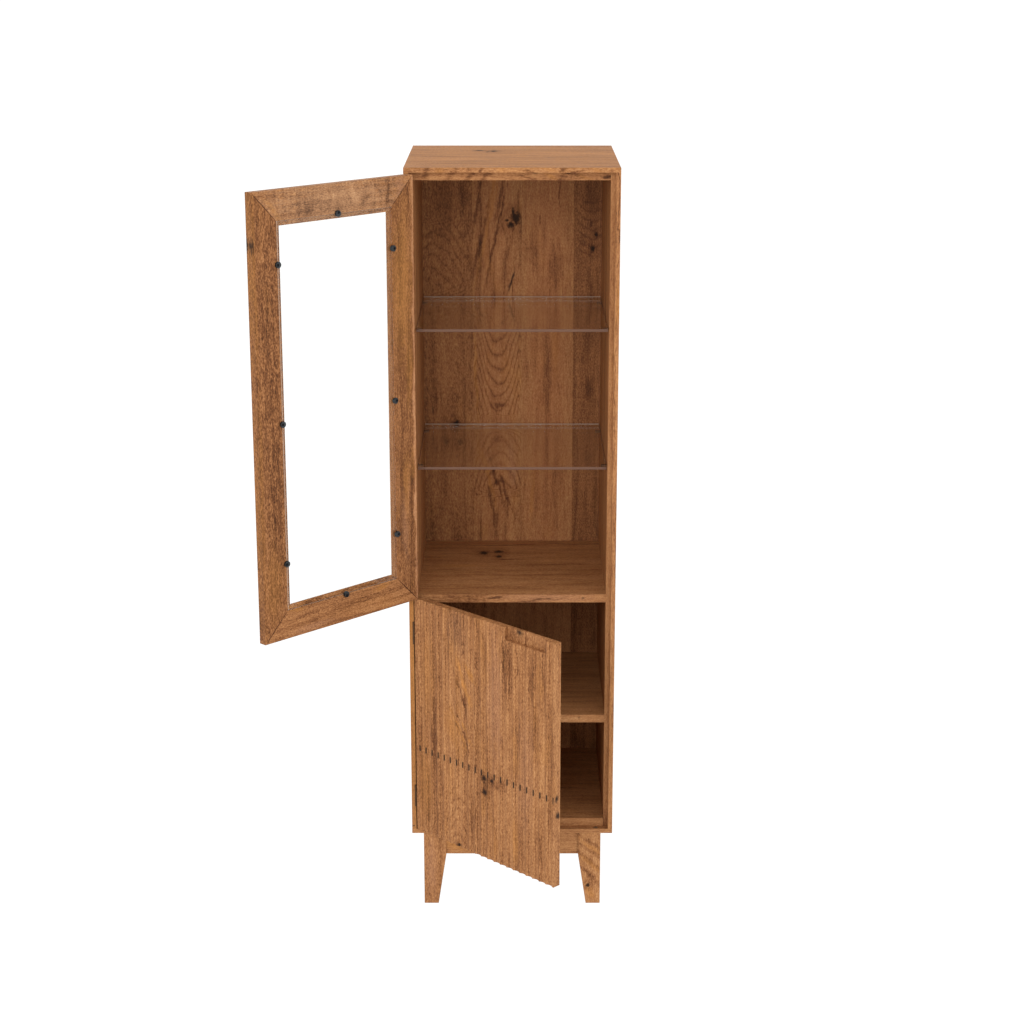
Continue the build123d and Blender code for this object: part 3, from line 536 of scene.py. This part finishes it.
dress("back_board_2", mango_wood(
    "back_wood_2", "xyz", 12,
    tone=0.0, bend=22.0, bands=0.3, streaks=0.3, lines=0.26, line_gap=15.0, gold=0.4,
    knots=[
        (8.5, 1497.0, 12.0, 1.15), (-3.0, 1482.0, 8.0, 1.0), (2.0, 1512.0, 4.0, 2.4),
        (-12.0, 1492.0, 5.0, 0.6),
    ],
    arches=[
        (-33.0, 1130.0, 46.0, 17.0, 110.0, 1040.0, 1290.0),
        (-30.0, 930.0, 52.0, 17.0, -90.0, 860.0, 1010.0),
    ],
    marks=[("xz", None, [
        (-40.0, 1200.0, 60.0, 700.0, 0.0, "red", 0.22),
        (-56.0, 1475.0, 4.5, 150.0, 12.0, "gold", 0.75), (-72.0, 1440.0, 5.0, 130.0, 12.0, "tone", -0.24),
        (-38.0, 1450.0, 4.0, 130.0, 12.0, "tone", -0.30), (-24.0, 1560.0, 6.0, 90.0, 13.0, "tone", -0.24),
        (-80.0, 1520.0, 4.0, 100.0, 10.0, "tone", -0.20), (-44.0, 1570.0, 4.0, 90.0, 11.0, "gold", 0.8),
        (-10.0, 1420.0, 5.0, 80.0, 14.0, "tone", -0.14), (-30.0, 1400.0, 9.0, 90.0, 12.0, "tone", 0.12),
        (-3.0, 1352.0, 2.6, 34.0, 14.0, "black", 0.85), (4.0, 1300.0, 2.0, 70.0, -8.0, "tone", -0.30),
        (-83.0, 1293.0, 11.0, 12.0, 0.0, "black", 0.42), (-70.0, 1273.0, 14.0, 5.0, 35.0, "black", 0.5),
        (-27.0, 1258.0, 6.0, 6.0, 0.0, "black", 0.35), (-84.0, 1130.0, 4.0, 130.0, -1.0, "gold", 0.75),
        (-60.0, 900.0, 5.0, 90.0, -14.0, "gold", 0.8), (-38.0, 880.0, 5.0, 80.0, -17.0, "tone", -0.26),
        (-14.0, 850.0, 4.0, 70.0, -20.0, "tone", -0.22), (-30.0, 1060.0, 16.0, 8.0, 0.0, "tone", -0.26),
        (-50.0, 830.0, 4.0, 50.0, -12.0, "tone", -0.20), (0.0, 920.0, 12.0, 60.0, 0.0, "pink", 0.4),
    ])],
))
dress("back_board_3", mango_wood(
    "back_wood_3", "xyz", 13, tone=-0.01, bend=12.0, bands=0.28, lines=0.10, streaks=0.30,
    marks=[("xz", None, [
        (82.0, 1200.0, 60.0, 700.0, 0.0, "red", 0.30),
        (63.0, 1490.0, 4.0, 14.0, 0.0, "tone", -0.22), (107.0, 1540.0, 2.4, 50.0, 0.0, "tone", -0.24),
        (100.0, 1380.0, 22.0, 60.0, 0.0, "tone", -0.14), (50.0, 1420.0, 16.0, 50.0, -6.0, "tone", -0.10),
        (100.0, 1200.0, 10.0, 80.0, 0.0, "gold", 0.5), (82.0, 1130.0, 14.0, 120.0, 0.0, "tone", -0.12),
        (50.0, 850.0, 5.0, 80.0, 5.0, "gold", 0.6), (110.0, 880.0, 20.0, 110.0, 2.0, "tone", -0.08),
    ])],
))
dress("back_board_4", mango_wood(
    "back_wood_4", "xyz", 14, tone=-0.17, bend=26.0, streaks=0.30, specks=0.75, bands=0.3,
    knots=[(184.0, 1426.0, 4.5, 1.9), (192.0, 1460.0, 3.5, 1.4)],
    arches=[(186.0, 1480.0, 34.0, 10.0, 22.0, 1410.0, 1560.0)],
    marks=[("xz", None, [
        (176.0, 1200.0, 60.0, 700.0, 0.0, "red", 0.12),
        (180.0, 1484.0, 5.0, 7.0, 0.0, "tone", -0.22), (182.0, 1545.0, 26.0, 50.0, 0.0, "tone", -0.10),
        (163.0, 1445.0, 10.0, 2.4, 35.0, "black", 0.4), (178.0, 1095.0, 12.0, 34.0, 0.0, "tone", -0.16),
        (170.0, 900.0, 20.0, 120.0, 0.0, "tone", 0.04), (185.0, 320.0, 60.0, 120.0, 0.0, "tone", 0.17),
    ])],
))


# Glass shelves: two clear polished plates with ground edges. Each rests on four small steel pins in the
# sides of the inner carcass.
glass_mirror = 0.02
slanting_mirror = 0.97


def clear_glass(name, hung, edges, tint):
    """Clear plate glass that light passes through. edges are its frosted places: the ranges that one lies
    within, its colour and how much of it shows."""
    material, start, shader = finish_of(name)
    tree = material.node_tree
    at = in_millimetres(start, hung)
    by_axis = dict(zip("xyz", start.node("SeparateXYZ", {}, {0: at}, output="all")))
    frost = start.node("TexNoise", {}, {"Vector": at, "Scale": 0.5, "Detail": 4.0})
    shown = 0.0
    colour = edges[0][1]
    for ranges, edge_colour, share in edges:
        inside = 1.0
        for axis, low, high in ranges:
            inside = by_axis[axis].within(low, high) * inside
        shown = (inside * share).larger(shown)
        shaded = tuple(0.8 * part for part in edge_colour)
        colour = inside.mixed(colour, frost.mixed(shaded, edge_colour))
    see_through = start.node("BsdfTransparent", {}, {0: tint})
    mirror = start.node("BsdfAnisotropic", {}, {"Color": (1.0, 1.0, 1.0, 1.0), "Roughness": 0.02})
    aslant = start.node("LayerWeight", {}, {"Blend": 0.5}, output="Facing")
    sockets = {0: aslant ** 5.0 * slanting_mirror + glass_mirror, 1: see_through, 2: mirror}
    face = start.node("MixShader", {}, sockets)
    connect(colour, shader, "Base Color")
    shader.inputs["Roughness"].default_value = 0.45
    shader.inputs["Specular IOR Level"].default_value = 0.25
    whole = start.node("MixShader", {}, {0: shown, 1: face, 2: Shade(tree, shader.outputs[0])})
    tree.links.new(whole.socket, tree.nodes["Material Output"].inputs["Surface"])
    return material


shelf_tint = (0.985, 0.99, 0.985, 1.0)
front_edge_grey = (0.140, 0.068, 0.042, 1.0)
back_edge_grey = (0.50, 0.37, 0.29, 1.0)
for shelf in ("glass_shelf_upper", "glass_shelf_lower"):
    low, high = (corner * 1000.0 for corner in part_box(shelf))
    dress(shelf, clear_glass(shelf + "_glass", None, [
        ([("y", -far, low.y + 0.8)], front_edge_grey, 0.85),
        ([("x", -far, low.x + 0.6)], front_edge_grey, 0.5),
        ([("x", high.x - 0.6, far)], front_edge_grey, 0.5),
        ([("y", high.y - 0.6, far), ("z", high.z - 2.6, far)], back_edge_grey, 0.9),
    ], shelf_tint))


def satin_steel(name, colour, rough, wear=0.0, worn=(0.5, 0.5, 0.5, 1.0), hung=None):
    """Metal with fine brushing, small stains and, where it is plated or painted, rubbed places."""
    material, start, shader = finish_of(name)
    at = in_millimetres(start, hung)
    grit = start.node("TexNoise", {}, {"Vector": at, "Scale": 1.6, "Detail": 4.0})
    stain = start.node("TexNoise", {}, {"Vector": at, "Scale": 0.12, "Detail": 2.0})
    shade = grit.mixed(tuple(part * 0.75 for part in colour[:3]) + (1.0,), colour)
    if wear:
        shade = (grit.eased(0.62, 0.72) * wear).mixed(shade, worn)
    connect(shade, shader, "Base Color")
    shader.inputs["Metallic"].default_value = 1.0
    connect(rough + (stain - 0.5) * 0.3, shader, "Roughness")
    bump = start.node("Bump", {}, {"Strength": 0.15, "Distance": 0.0001, "Height": grit})
    connect(bump, shader, "Normal")
    return material


# The pins' steel is painted dark brown: painted shade, for their shaded place under the shelves inside the
# cabinet.
dress("shelf_pins", satin_steel("pin_steel_painted_shade", (0.15, 0.11, 0.08, 1.0), 0.5))

# Upper door: two stiles and two rails, mitred and splined at the corners, with a bevelled lip
# that holds the pane from the front. Eight round black retainers hold it from behind. The door
# hangs open and shows its inner face.
upper_open = 134.4
mitre_half_width = 1.3
mitre_half_length = 42.4


def mitre_line(along_door, height, lean, tone):
    """The fine dark line of a mitre joint, at its middle."""
    return (along_door, height, mitre_half_width, mitre_half_length, lean, "seam", tone)


hinge_mitres = [mitre_line(33.5, 761.0, 45.0, -0.34), mitre_line(33.5, 1618.0, -45.0, -0.2)]
free_mitres = [mitre_line(397.5, 761.0, -45.0, -0.3), mitre_line(397.5, 1618.0, 45.0, -0.3)]
dress("upper_door_free_stile", mango_wood(
    "free_stile_wood", "xyz", 21, hung=upper_open,
    tone=-0.165, bend=10.0, bands=0.25, streaks=0.42, specks=1.1, lines=0.12, line_gap=8.0, figure=0.14,
    marks=[("xz", None, free_mitres + [
        (425.0, 1500.0, 5.0, 260.0, 0.0, "gold", 0.5), (426.0, 1544.0, 3.0, 18.0, 4.0, "black", 0.85),
        (424.0, 1000.0, 6.0, 300.0, 0.0, "gold", 0.45), (400.0, 850.0, 24.0, 90.0, 0.0, "gold", 0.45),
        (396.0, 1250.0, 18.0, 200.0, 0.0, "tone", -0.08),
        (385.0, 1000.0, 14.0, 160.0, 0.0, "tone", -0.07), (424.0, 780.0, 5.0, 30.0, 0.0, "tone", -0.12),
    ])],
))
dress("upper_door_hinge_stile", mango_wood(
    "hinge_stile_wood", "xyz", 22, hung=upper_open,
    tone=-0.15, bend=16.0, streaks=0.35, specks=0.8, lines=0.16, line_gap=12.0, gold=0.5,
    marks=[("xz", None, hinge_mitres + [
        # The light pink strip from 1 to 10 mm off the hinge edge, at 5.5 mm, is a painted highlight along
        # the stile's rounded edge.
        (69.5, 1190.0, 6.5, 900.0, 0.0, "seam", 0.155), (5.5, 1190.0, 4.5, 900.0, 0.0, "tone", 0.26),
        (5.5, 1190.0, 4.5, 900.0, 0.0, "pink", 0.4),
        (34.0, 1480.0, 22.0, 120.0, 0.0, "gold", 0.6), (20.0, 1250.0, 10.0, 90.0, 0.0, "gold", 0.7),
        (38.0, 1268.0, 30.0, 90.0, 0.0, "tone", -0.115), (38.0, 1420.0, 30.0, 170.0, 0.0, "gold", 0.7),
        (38.0, 1500.0, 30.0, 110.0, 0.0, "tone", -0.035),
        (44.0, 1100.0, 14.0, 160.0, 2.0, "tone", -0.08), (34.0, 1010.0, 10.0, 60.0, 0.0, "gold", 0.5),
        (40.0, 900.0, 12.0, 90.0, 3.0, "pink", 0.35), (18.0, 960.0, 8.0, 110.0, -4.0, "tone", -0.16),
        (30.0, 800.0, 20.0, 60.0, 0.0, "tone", -0.06),
    ])],
))
dress("upper_door_top_rail", mango_wood(
    "top_rail_wood", "zyx", 23, hung=upper_open,
    tone=-0.03, bend=18.0, streaks=0.30, specks=1.0, figure=0.40, line_gap=9.0, lines=0.14,
    marks=[("xz", None, hinge_mitres + free_mitres + [
        (220.0, 1612.0, 230.0, 60.0, 0.0, "grey", 0.30), (375.0, 1608.0, 7.0, 40.0, 40.0, "gold", 0.7),
        (282.0, 1618.0, 30.0, 34.0, 20.0, "tone", -0.08),
        (74.0, 1620.0, 6.0, 34.0, 0.0, "tone", -0.20), (165.0, 1622.0, 9.0, 26.0, 30.0, "tone", 0.18),
        (130.0, 1612.0, 16.0, 6.0, 20.0, "tone", -0.20), (118.0, 1622.0, 12.0, 20.0, -20.0, "tone", 0.12),
        (40.0, 1625.0, 14.0, 22.0, 0.0, "pink", 0.35),
    ])],
))
dress("upper_door_bottom_rail", mango_wood(
    "bottom_rail_wood", "zyx", 24, hung=upper_open,
    tone=-0.07, bend=10.0, streaks=0.5, specks=1.0, figure=0.08, line_gap=9.0, lines=0.14,
    marks=[("xz", None, hinge_mitres + free_mitres + [
        (350.0, 790.0, 30.0, 7.0, -8.0, "gold", 0.8), (110.0, 784.0, 26.0, 8.0, 10.0, "gold", 0.7),
        (230.0, 760.0, 90.0, 8.0, 3.0, "tone", -0.10), (160.0, 742.0, 80.0, 8.0, 0.0, "tone", 0.10),
        (300.0, 742.0, 60.0, 8.0, 0.0, "pink", 0.4),
    ])],
))
free_edge_brown = (0.52, 0.33, 0.22, 1.0)
hinge_edge_brown = (0.56, 0.27, 0.12, 1.0)
dress("upper_door_pane", clear_glass("door_glass", upper_open, [
    ([("x", 364.6, far)], free_edge_brown, 0.65), ([("x", -far, 63.6)], hinge_edge_brown, 0.6),
    ([("z", 1586.6, far)], free_edge_brown, 0.5), ([("z", -far, 791.6)], free_edge_brown, 0.5),
], (0.99, 0.993, 0.99, 1.0)))
rubbed_black = (0.10, 0.09, 0.08, 1.0)
black_steel = satin_steel("black_steel", (0.062, 0.070, 0.076, 1.0), 0.5, 0.3, rubbed_black, upper_open)
dress("glass_retainers", black_steel)

# Lower door: one thick panel glued up from three boards. Rounded flutes are planed down its whole outer
# face, and a finger recess is cut into its top edge. A saw has nicked every ridge at one height.
lower_open = 45.0
dress("lower_door_panel", mango_wood(
    "lower_door_wood", "xyz", 31, hung=lower_open,
    tone=-0.05, bend=14.0, bands=0.42, streaks=0.42, specks=0.95, lines=0.16, line_gap=12.0, gold=0.35,
    boards=[(92.2, 0.03), (189.6, -0.01)], nicks=(14.9, 428.0, 19.54, 381.5, 9.0),
    knots=[
        (216.0, 369.5, 6.6, 1.0), (239.0, 369.5, 4.8, 0.9), (218.0, 337.0, 6.0, 1.0),
        (137.5, 187.5, 4.6, 0.9),
    ],
    arches=[(136.0, 318.0, 40.0, 15.0, -70.0, 190.0, 345.0)],
    marks=[
        ("xz", None, [
            (152.0, 580.0, 8.0, 62.0, -25.0, "gold", 1.0), (152.0, 580.0, 5.0, 58.0, -25.0, "tone", 0.17),
            (128.0, 470.0, 2.8, 60.0, -26.0, "gold", 1.0), (142.0, 458.0, 2.8, 60.0, -28.0, "gold", 1.0),
            (156.0, 470.0, 2.8, 55.0, -28.0, "gold", 0.9), (134.0, 464.0, 2.2, 60.0, -27.0, "tone", -0.18),
            (149.0, 462.0, 2.2, 60.0, -28.0, "tone", -0.18), (130.0, 300.0, 30.0, 120.0, 0.0, "tone", 0.05),
            (173.0, 598.0, 8.0, 26.0, -42.0, "gold", 0.9), (138.0, 560.0, 3.0, 50.0, -25.0, "tone", -0.2),
            (92.2, 640.0, 4.0, 100.0, 0.0, "tone", 0.16), (189.6, 400.0, 1.6, 330.0, 0.0, "tone", -0.18),
            (132.0, 680.0, 40.0, 60.0, 0.0, "grey", 0.08), (132.0, 680.0, 40.0, 60.0, 0.0, "tone", -0.11),
            (275.8, 655.0, 3.0, 40.0, 0.0, "tone", -0.30), (317.0, 647.0, 3.0, 34.0, 0.0, "tone", -0.26),
            (210.0, 480.0, 7.0, 90.0, -6.0, "tone", -0.06), (228.0, 540.0, 26.0, 110.0, 0.0, "tone", 0.05),
            (280.0, 430.0, 60.0, 200.0, 0.0, "tone", 0.02), (360.0, 640.0, 10.0, 60.0, 4.0, "tone", -0.14),
            (392.0, 500.0, 8.0, 120.0, 0.0, "tone", 0.10), (60.0, 420.0, 9.0, 90.0, 3.0, "tone", -0.14),
            (180.0, 250.0, 8.0, 60.0, 0.0, "tone", -0.12), (380.0, 270.0, 14.0, 60.0, 0.0, "tone", -0.12),
            (286.0, 640.0, 16.0, 70.0, 0.0, "tone", -0.14),
            (150.0, 540.0, 5.0, 60.0, -18.0, "tone", -0.16), (120.0, 450.0, 20.0, 60.0, -20.0, "gold", 0.5),
            (30.0, 300.0, 24.0, 100.0, 0.0, "gold", 0.5), (40.0, 560.0, 24.0, 120.0, 0.0, "gold", 0.35),
            (250.0, 560.0, 24.0, 160.0, 0.0, "pink", 0.4), (310.0, 250.0, 10.0, 60.0, 0.0, "gold", 0.5),
            (260.0, 365.0, 30.0, 16.0, 0.0, "tone", -0.14), (340.0, 420.0, 26.0, 160.0, 0.0, "pink", 0.3),
            (224.0, 352.0, 14.0, 26.0, 0.0, "tone", -0.12),
        ]),
        ("xz", ("y", 5.0, 18.0), [(314.6, 722.0, 11.0, 8.0, 0.0, "black", 0.9)]),
        ("yz", ("x", 427.0, 460.0), [
            (8.0, 384.0, 6.0, 10.0, 0.0, "black", 0.95), (12.3, 346.0, 7.0, 8.0, 0.0, "black", 0.95),
        ]),
    ],
))

# Catches: a small plated magnet let into the top of the upper door and the foot of the lower door, near the
# free edge. Each one meets a steel disc let into the casing. The upper magnet is tarnished brown.
dress("lower_door_magnet", satin_steel("magnet_nickel", (0.62, 0.60, 0.56, 1.0), 0.22))
dress("upper_door_magnet", satin_steel("magnet_tarnished", (0.34, 0.22, 0.14, 1.0), 0.5))
strike_steel = satin_steel("strike_steel", (0.26, 0.25, 0.23, 1.0), 0.45)
dress("upper_strike_disc", strike_steel)
dress("lower_strike_disc", strike_steel)

# Hinges: butt hinges of dark bronzed steel, three on the upper door and two on the lower. One leaf is let
# into the casing and the other lies on the door's edge, and a headed pin runs through the knuckles.
bronze = satin_steel("hinge_bronze", (0.110, 0.060, 0.034, 1.0), 0.46, 0.4, (0.26, 0.16, 0.09, 1.0))
for which in ("upper", "lower"):
    for part in ("hinge_case_leaves", "hinge_door_leaves", "hinge_pins"):
        dress(which + "_" + part, bronze)

# Base: four tapered legs with four aprons tenoned into them. Blocks fill the corners, and a zinc-plated
# bolt draws each leg against its block. Screws go up through the blocks into the carcass floor.
dress("leg_front_left", mango_wood(
    "leg_wood_1", "xyz", 41, tone=-0.05, streaks=0.35, specks=0.8, lines=0.08, bend=8.0,
    marks=[("xz", None, [(-182.0, 90.0, 14.0, 80.0, 0.0, "pink", 0.4)])],
))
dress("leg_front_right", mango_wood(
    "leg_wood_2", "xyz", 42, tone=0.05, streaks=0.35, specks=0.8, lines=0.10, gold=0.6,
    knots=[(172.0, 44.0, 4.5, 1.2)],
    marks=[("xz", None, [
        (176.0, 150.0, 5.0, 60.0, -50.0, "tone", -0.20), (180.0, 126.0, 5.0, 60.0, -52.0, "tone", -0.18),
        (176.0, 104.0, 5.0, 60.0, -50.0, "tone", -0.16), (184.0, 92.0, 6.0, 50.0, -48.0, "gold", 0.5),
        (172.0, 74.0, 5.0, 50.0, -46.0, "tone", -0.14), (180.0, 60.0, 5.0, 40.0, -40.0, "tone", -0.12),
        (180.0, 136.0, 6.0, 50.0, -50.0, "gold", 0.5), (176.0, 30.0, 8.0, 24.0, -20.0, "gold", 0.6),
    ])],
))
dress("leg_rear_left", mango_wood("leg_wood_3", "xyz", 43, tone=0.02, streaks=0.35))
dress("leg_rear_right", mango_wood("leg_wood_4", "xyz", 44, tone=0.0, streaks=0.4))
dress("apron_front", mango_wood(
    "apron_wood_1", "zyx", 45, tone=0.05, streaks=0.5, bend=8.0, knots=[(140.0, -112.0, 3.5, 1.2)],
    marks=[("xz", None, [(-120.0, 146.0, 40.0, 26.0, 0.0, "gold", 0.7)])],
))
dress("apron_rear", mango_wood("apron_wood_2", "zyx", 46, tone=0.0))
dress("apron_left", mango_wood("apron_wood_3", "zxy", 47, tone=0.0))
dress("apron_right", mango_wood("apron_wood_4", "zxy", 48, tone=0.02))
dress("corner_blocks", mango_wood("corner_block_wood", "xyz", 49, tone=0.04))
zinc = satin_steel("zinc_plate", (0.56, 0.54, 0.48, 1.0), 0.36, 0.3, (0.40, 0.38, 0.30, 1.0))
dress("leg_bolts", zinc)

# Screws: cross-recessed steel screws with turned heads, sunk flush or raised, whose slots stand at any
# angle. They hold the retainers, the hinge leaves, the back boards and the base.
screw_inputs = [
    ("Face Radius", "Float"), ("Foot Radius", "Float"), ("Head Height", "Float"), ("Shank Radius", "Float"),
    ("Length", "Float"), ("Outward", "Vector"), ("Seed", "Int"), ("Steel", "Material"),
]
head_sides = 24
shank_sides = 16
quarter_turn = 1.57

# A slot's length and width are shares of the head's radius. Its height is a share of the head's, and half
# of it stands above the head.
slot_length = 1.15
slot_width = 0.24
slot_height = 1.3


def screw_tree():
    """The recipe of a screw, set at every point of a mesh: a head with two crossed slots, and its shank."""
    tree = bpy.data.node_groups.new("cross_recess_screw", "GeometryNodeTree")
    tree.interface.new_socket("Geometry", in_out="INPUT", socket_type="NodeSocketGeometry")
    for title, kind in screw_inputs:
        tree.interface.new_socket(title, in_out="INPUT", socket_type="NodeSocket" + kind)
    tree.interface.new_socket("Geometry", in_out="OUTPUT", socket_type="NodeSocketGeometry")
    start = Shade(tree)
    given = start.node("NodeGroupInput", {}, {}, output="all")
    points, face, foot, high, shank, length, outward, seed, steel = given[:9]

    def lowered(shape, drop):
        place = start.node("CombineXYZ", {}, {2: 0.0 - drop})
        return start.node("GeometryNodeTransform", {}, {"Geometry": shape, "Translation": place})

    def carved(operation, sockets):
        return start.node("GeometryNodeMeshBoolean", {"operation": operation, "solver": "EXACT"}, sockets)

    sockets = {"Vertices": head_sides, "Radius Top": face, "Radius Bottom": foot, "Depth": high}
    head = start.node("GeometryNodeMeshCone", {}, sockets)
    sockets = {"Vertices": shank_sides, "Radius": shank, "Depth": length - high * 0.5}
    stem = lowered(start.node("GeometryNodeMeshCylinder", {}, sockets), high * 0.25 + length * 0.5)
    screw = carved("UNION", {"Mesh 2": stem})
    tree.links.new(lowered(head, high).socket, screw.socket.node.inputs["Mesh 2"])
    long_side, short_side = face * slot_length, face * slot_width
    for width, depth in ((long_side, short_side), (short_side, long_side)):
        extent = start.node("CombineXYZ", {}, {0: width, 1: depth, 2: high * slot_height})
        cutter = start.node("GeometryNodeMeshCube", {}, {"Size": extent})
        screw = carved("DIFFERENCE", {"Mesh 1": screw, "Mesh 2": cutter})

    sockets = {2: 0.0, 3: quarter_turn, "Seed": seed}
    spin = start.node("FunctionNodeRandomValue", {"data_type": "FLOAT"}, sockets, output=1)
    facing = start.node("FunctionNodeAlignRotationToVector", {"axis": "Z"}, {"Vector": outward})
    about = start.node("FunctionNodeAxisAngleToRotation", {}, {"Axis": (0.0, 0.0, 1.0), "Angle": spin})
    turned = start.node("FunctionNodeRotateRotation", {"rotation_space": "LOCAL"}, {0: facing, 1: about})
    sockets = {"Points": points, "Instance": screw, "Rotation": turned}
    driven = start.node("GeometryNodeInstanceOnPoints", {}, sockets)
    solid = start.node("GeometryNodeRealizeInstances", {}, {"Geometry": driven})
    plated = start.node("GeometryNodeSetMaterial", {}, {"Geometry": solid, "Material": steel})
    outlet = tree.nodes.new("NodeGroupOutput")
    tree.links.new(plated.socket, outlet.inputs[0])
    return tree


def screw_faces(node, outward):
    """The middle of each screw's outer face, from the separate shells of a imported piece."""
    shells = bmesh.new()
    shells.from_mesh(nodes[node].data)
    bmesh.ops.remove_doubles(shells, verts=shells.verts, dist=1.0e-6)
    waiting = set(shells.verts)
    faces = []
    while waiting:
        shell = [waiting.pop()]
        for point in shell:
            for edge in point.link_edges:
                other = edge.other_vert(point)
                if other in waiting:
                    waiting.remove(other)
                    shell.append(other)
        furthest = max(point.co.dot(outward) for point in shell)
        rim = [point.co for point in shell if point.co.dot(outward) > furthest - 1.0e-5]
        faces.append(sum(rim, Vector()) / len(rim))
    shells.free()
    return sorted(tuple(face) for face in faces)


screw_recipe = screw_tree()


def drive_screws(node, body, steel, outward, sizes):
    """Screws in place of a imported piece's plain ones. sizes are the radius of the head's face and of its
    foot, its height, the shank's radius and the whole length, in millimetres."""
    outward = Vector(outward).normalized()
    points = bpy.data.meshes.new(node)
    points.from_pydata(screw_faces(node, outward), [], [])
    screws = bpy.data.objects.new(node + "_cross_recessed", points)
    bpy.context.scene.collection.objects.link(screws)
    modifier = screws.modifiers.new("screws", "NODES")
    modifier.node_group = screw_recipe
    values = [size / 1000.0 for size in sizes] + [outward, len(node), steel]
    sockets = [item for item in screw_recipe.interface.items_tree if item.in_out == "INPUT"]
    identifiers = {item.name: item.identifier for item in sockets}
    for (title, kind), value in zip(screw_inputs, values):
        modifier[identifiers[title]] = value
    shaped = screws.evaluated_get(bpy.context.evaluated_depsgraph_get())
    mesh = bpy.data.meshes.new_from_object(shaped)
    screws.modifiers.remove(modifier)
    screws.data = mesh
    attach(screws, body)
    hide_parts(node)


black_screw = satin_steel(
    "black_screw_steel", (0.030, 0.030, 0.032, 1.0), 0.5, 0.3, (0.1, 0.08, 0.07, 1.0), upper_open,
)
door_back = (0.7145, -0.6997, 0.0)
retainer_screw = (2.5, 2.8, 1.2, 1.25, 14.0)
drive_screws("retainer_screws", "upper_door", black_screw, door_back, retainer_screw)
case_side = (1.0, 0.0, 0.0)
upper_edge = (0.6997, 0.7145, 0.0)
lower_edge = (-0.7071, 0.7071, 0.0)
case_screw = (2.6, 1.25, 1.2, 1.2, 7.0)
door_screw = (2.6, 1.25, 1.2, 1.2, 14.0)
for which, edge in (("upper", upper_edge), ("lower", lower_edge)):
    drive_screws(which + "_hinge_case_screws", "cabinet", bronze, case_side, case_screw)
    drive_screws(which + "_hinge_door_screws", which + "_door", bronze, edge, door_screw)
backwards = (0.0, 1.0, 0.0)
back_screw = (3.5, 1.8, 1.75, 1.75, 25.0)
drive_screws("back_screws", "cabinet", zinc, backwards, back_screw)
downwards = (0.0, 0.0, -1.0)
base_screw = (4.0, 2.05, 2.0, 2.0, 54.0)
drive_screws("base_screws", "cabinet", zinc, downwards, base_screw)
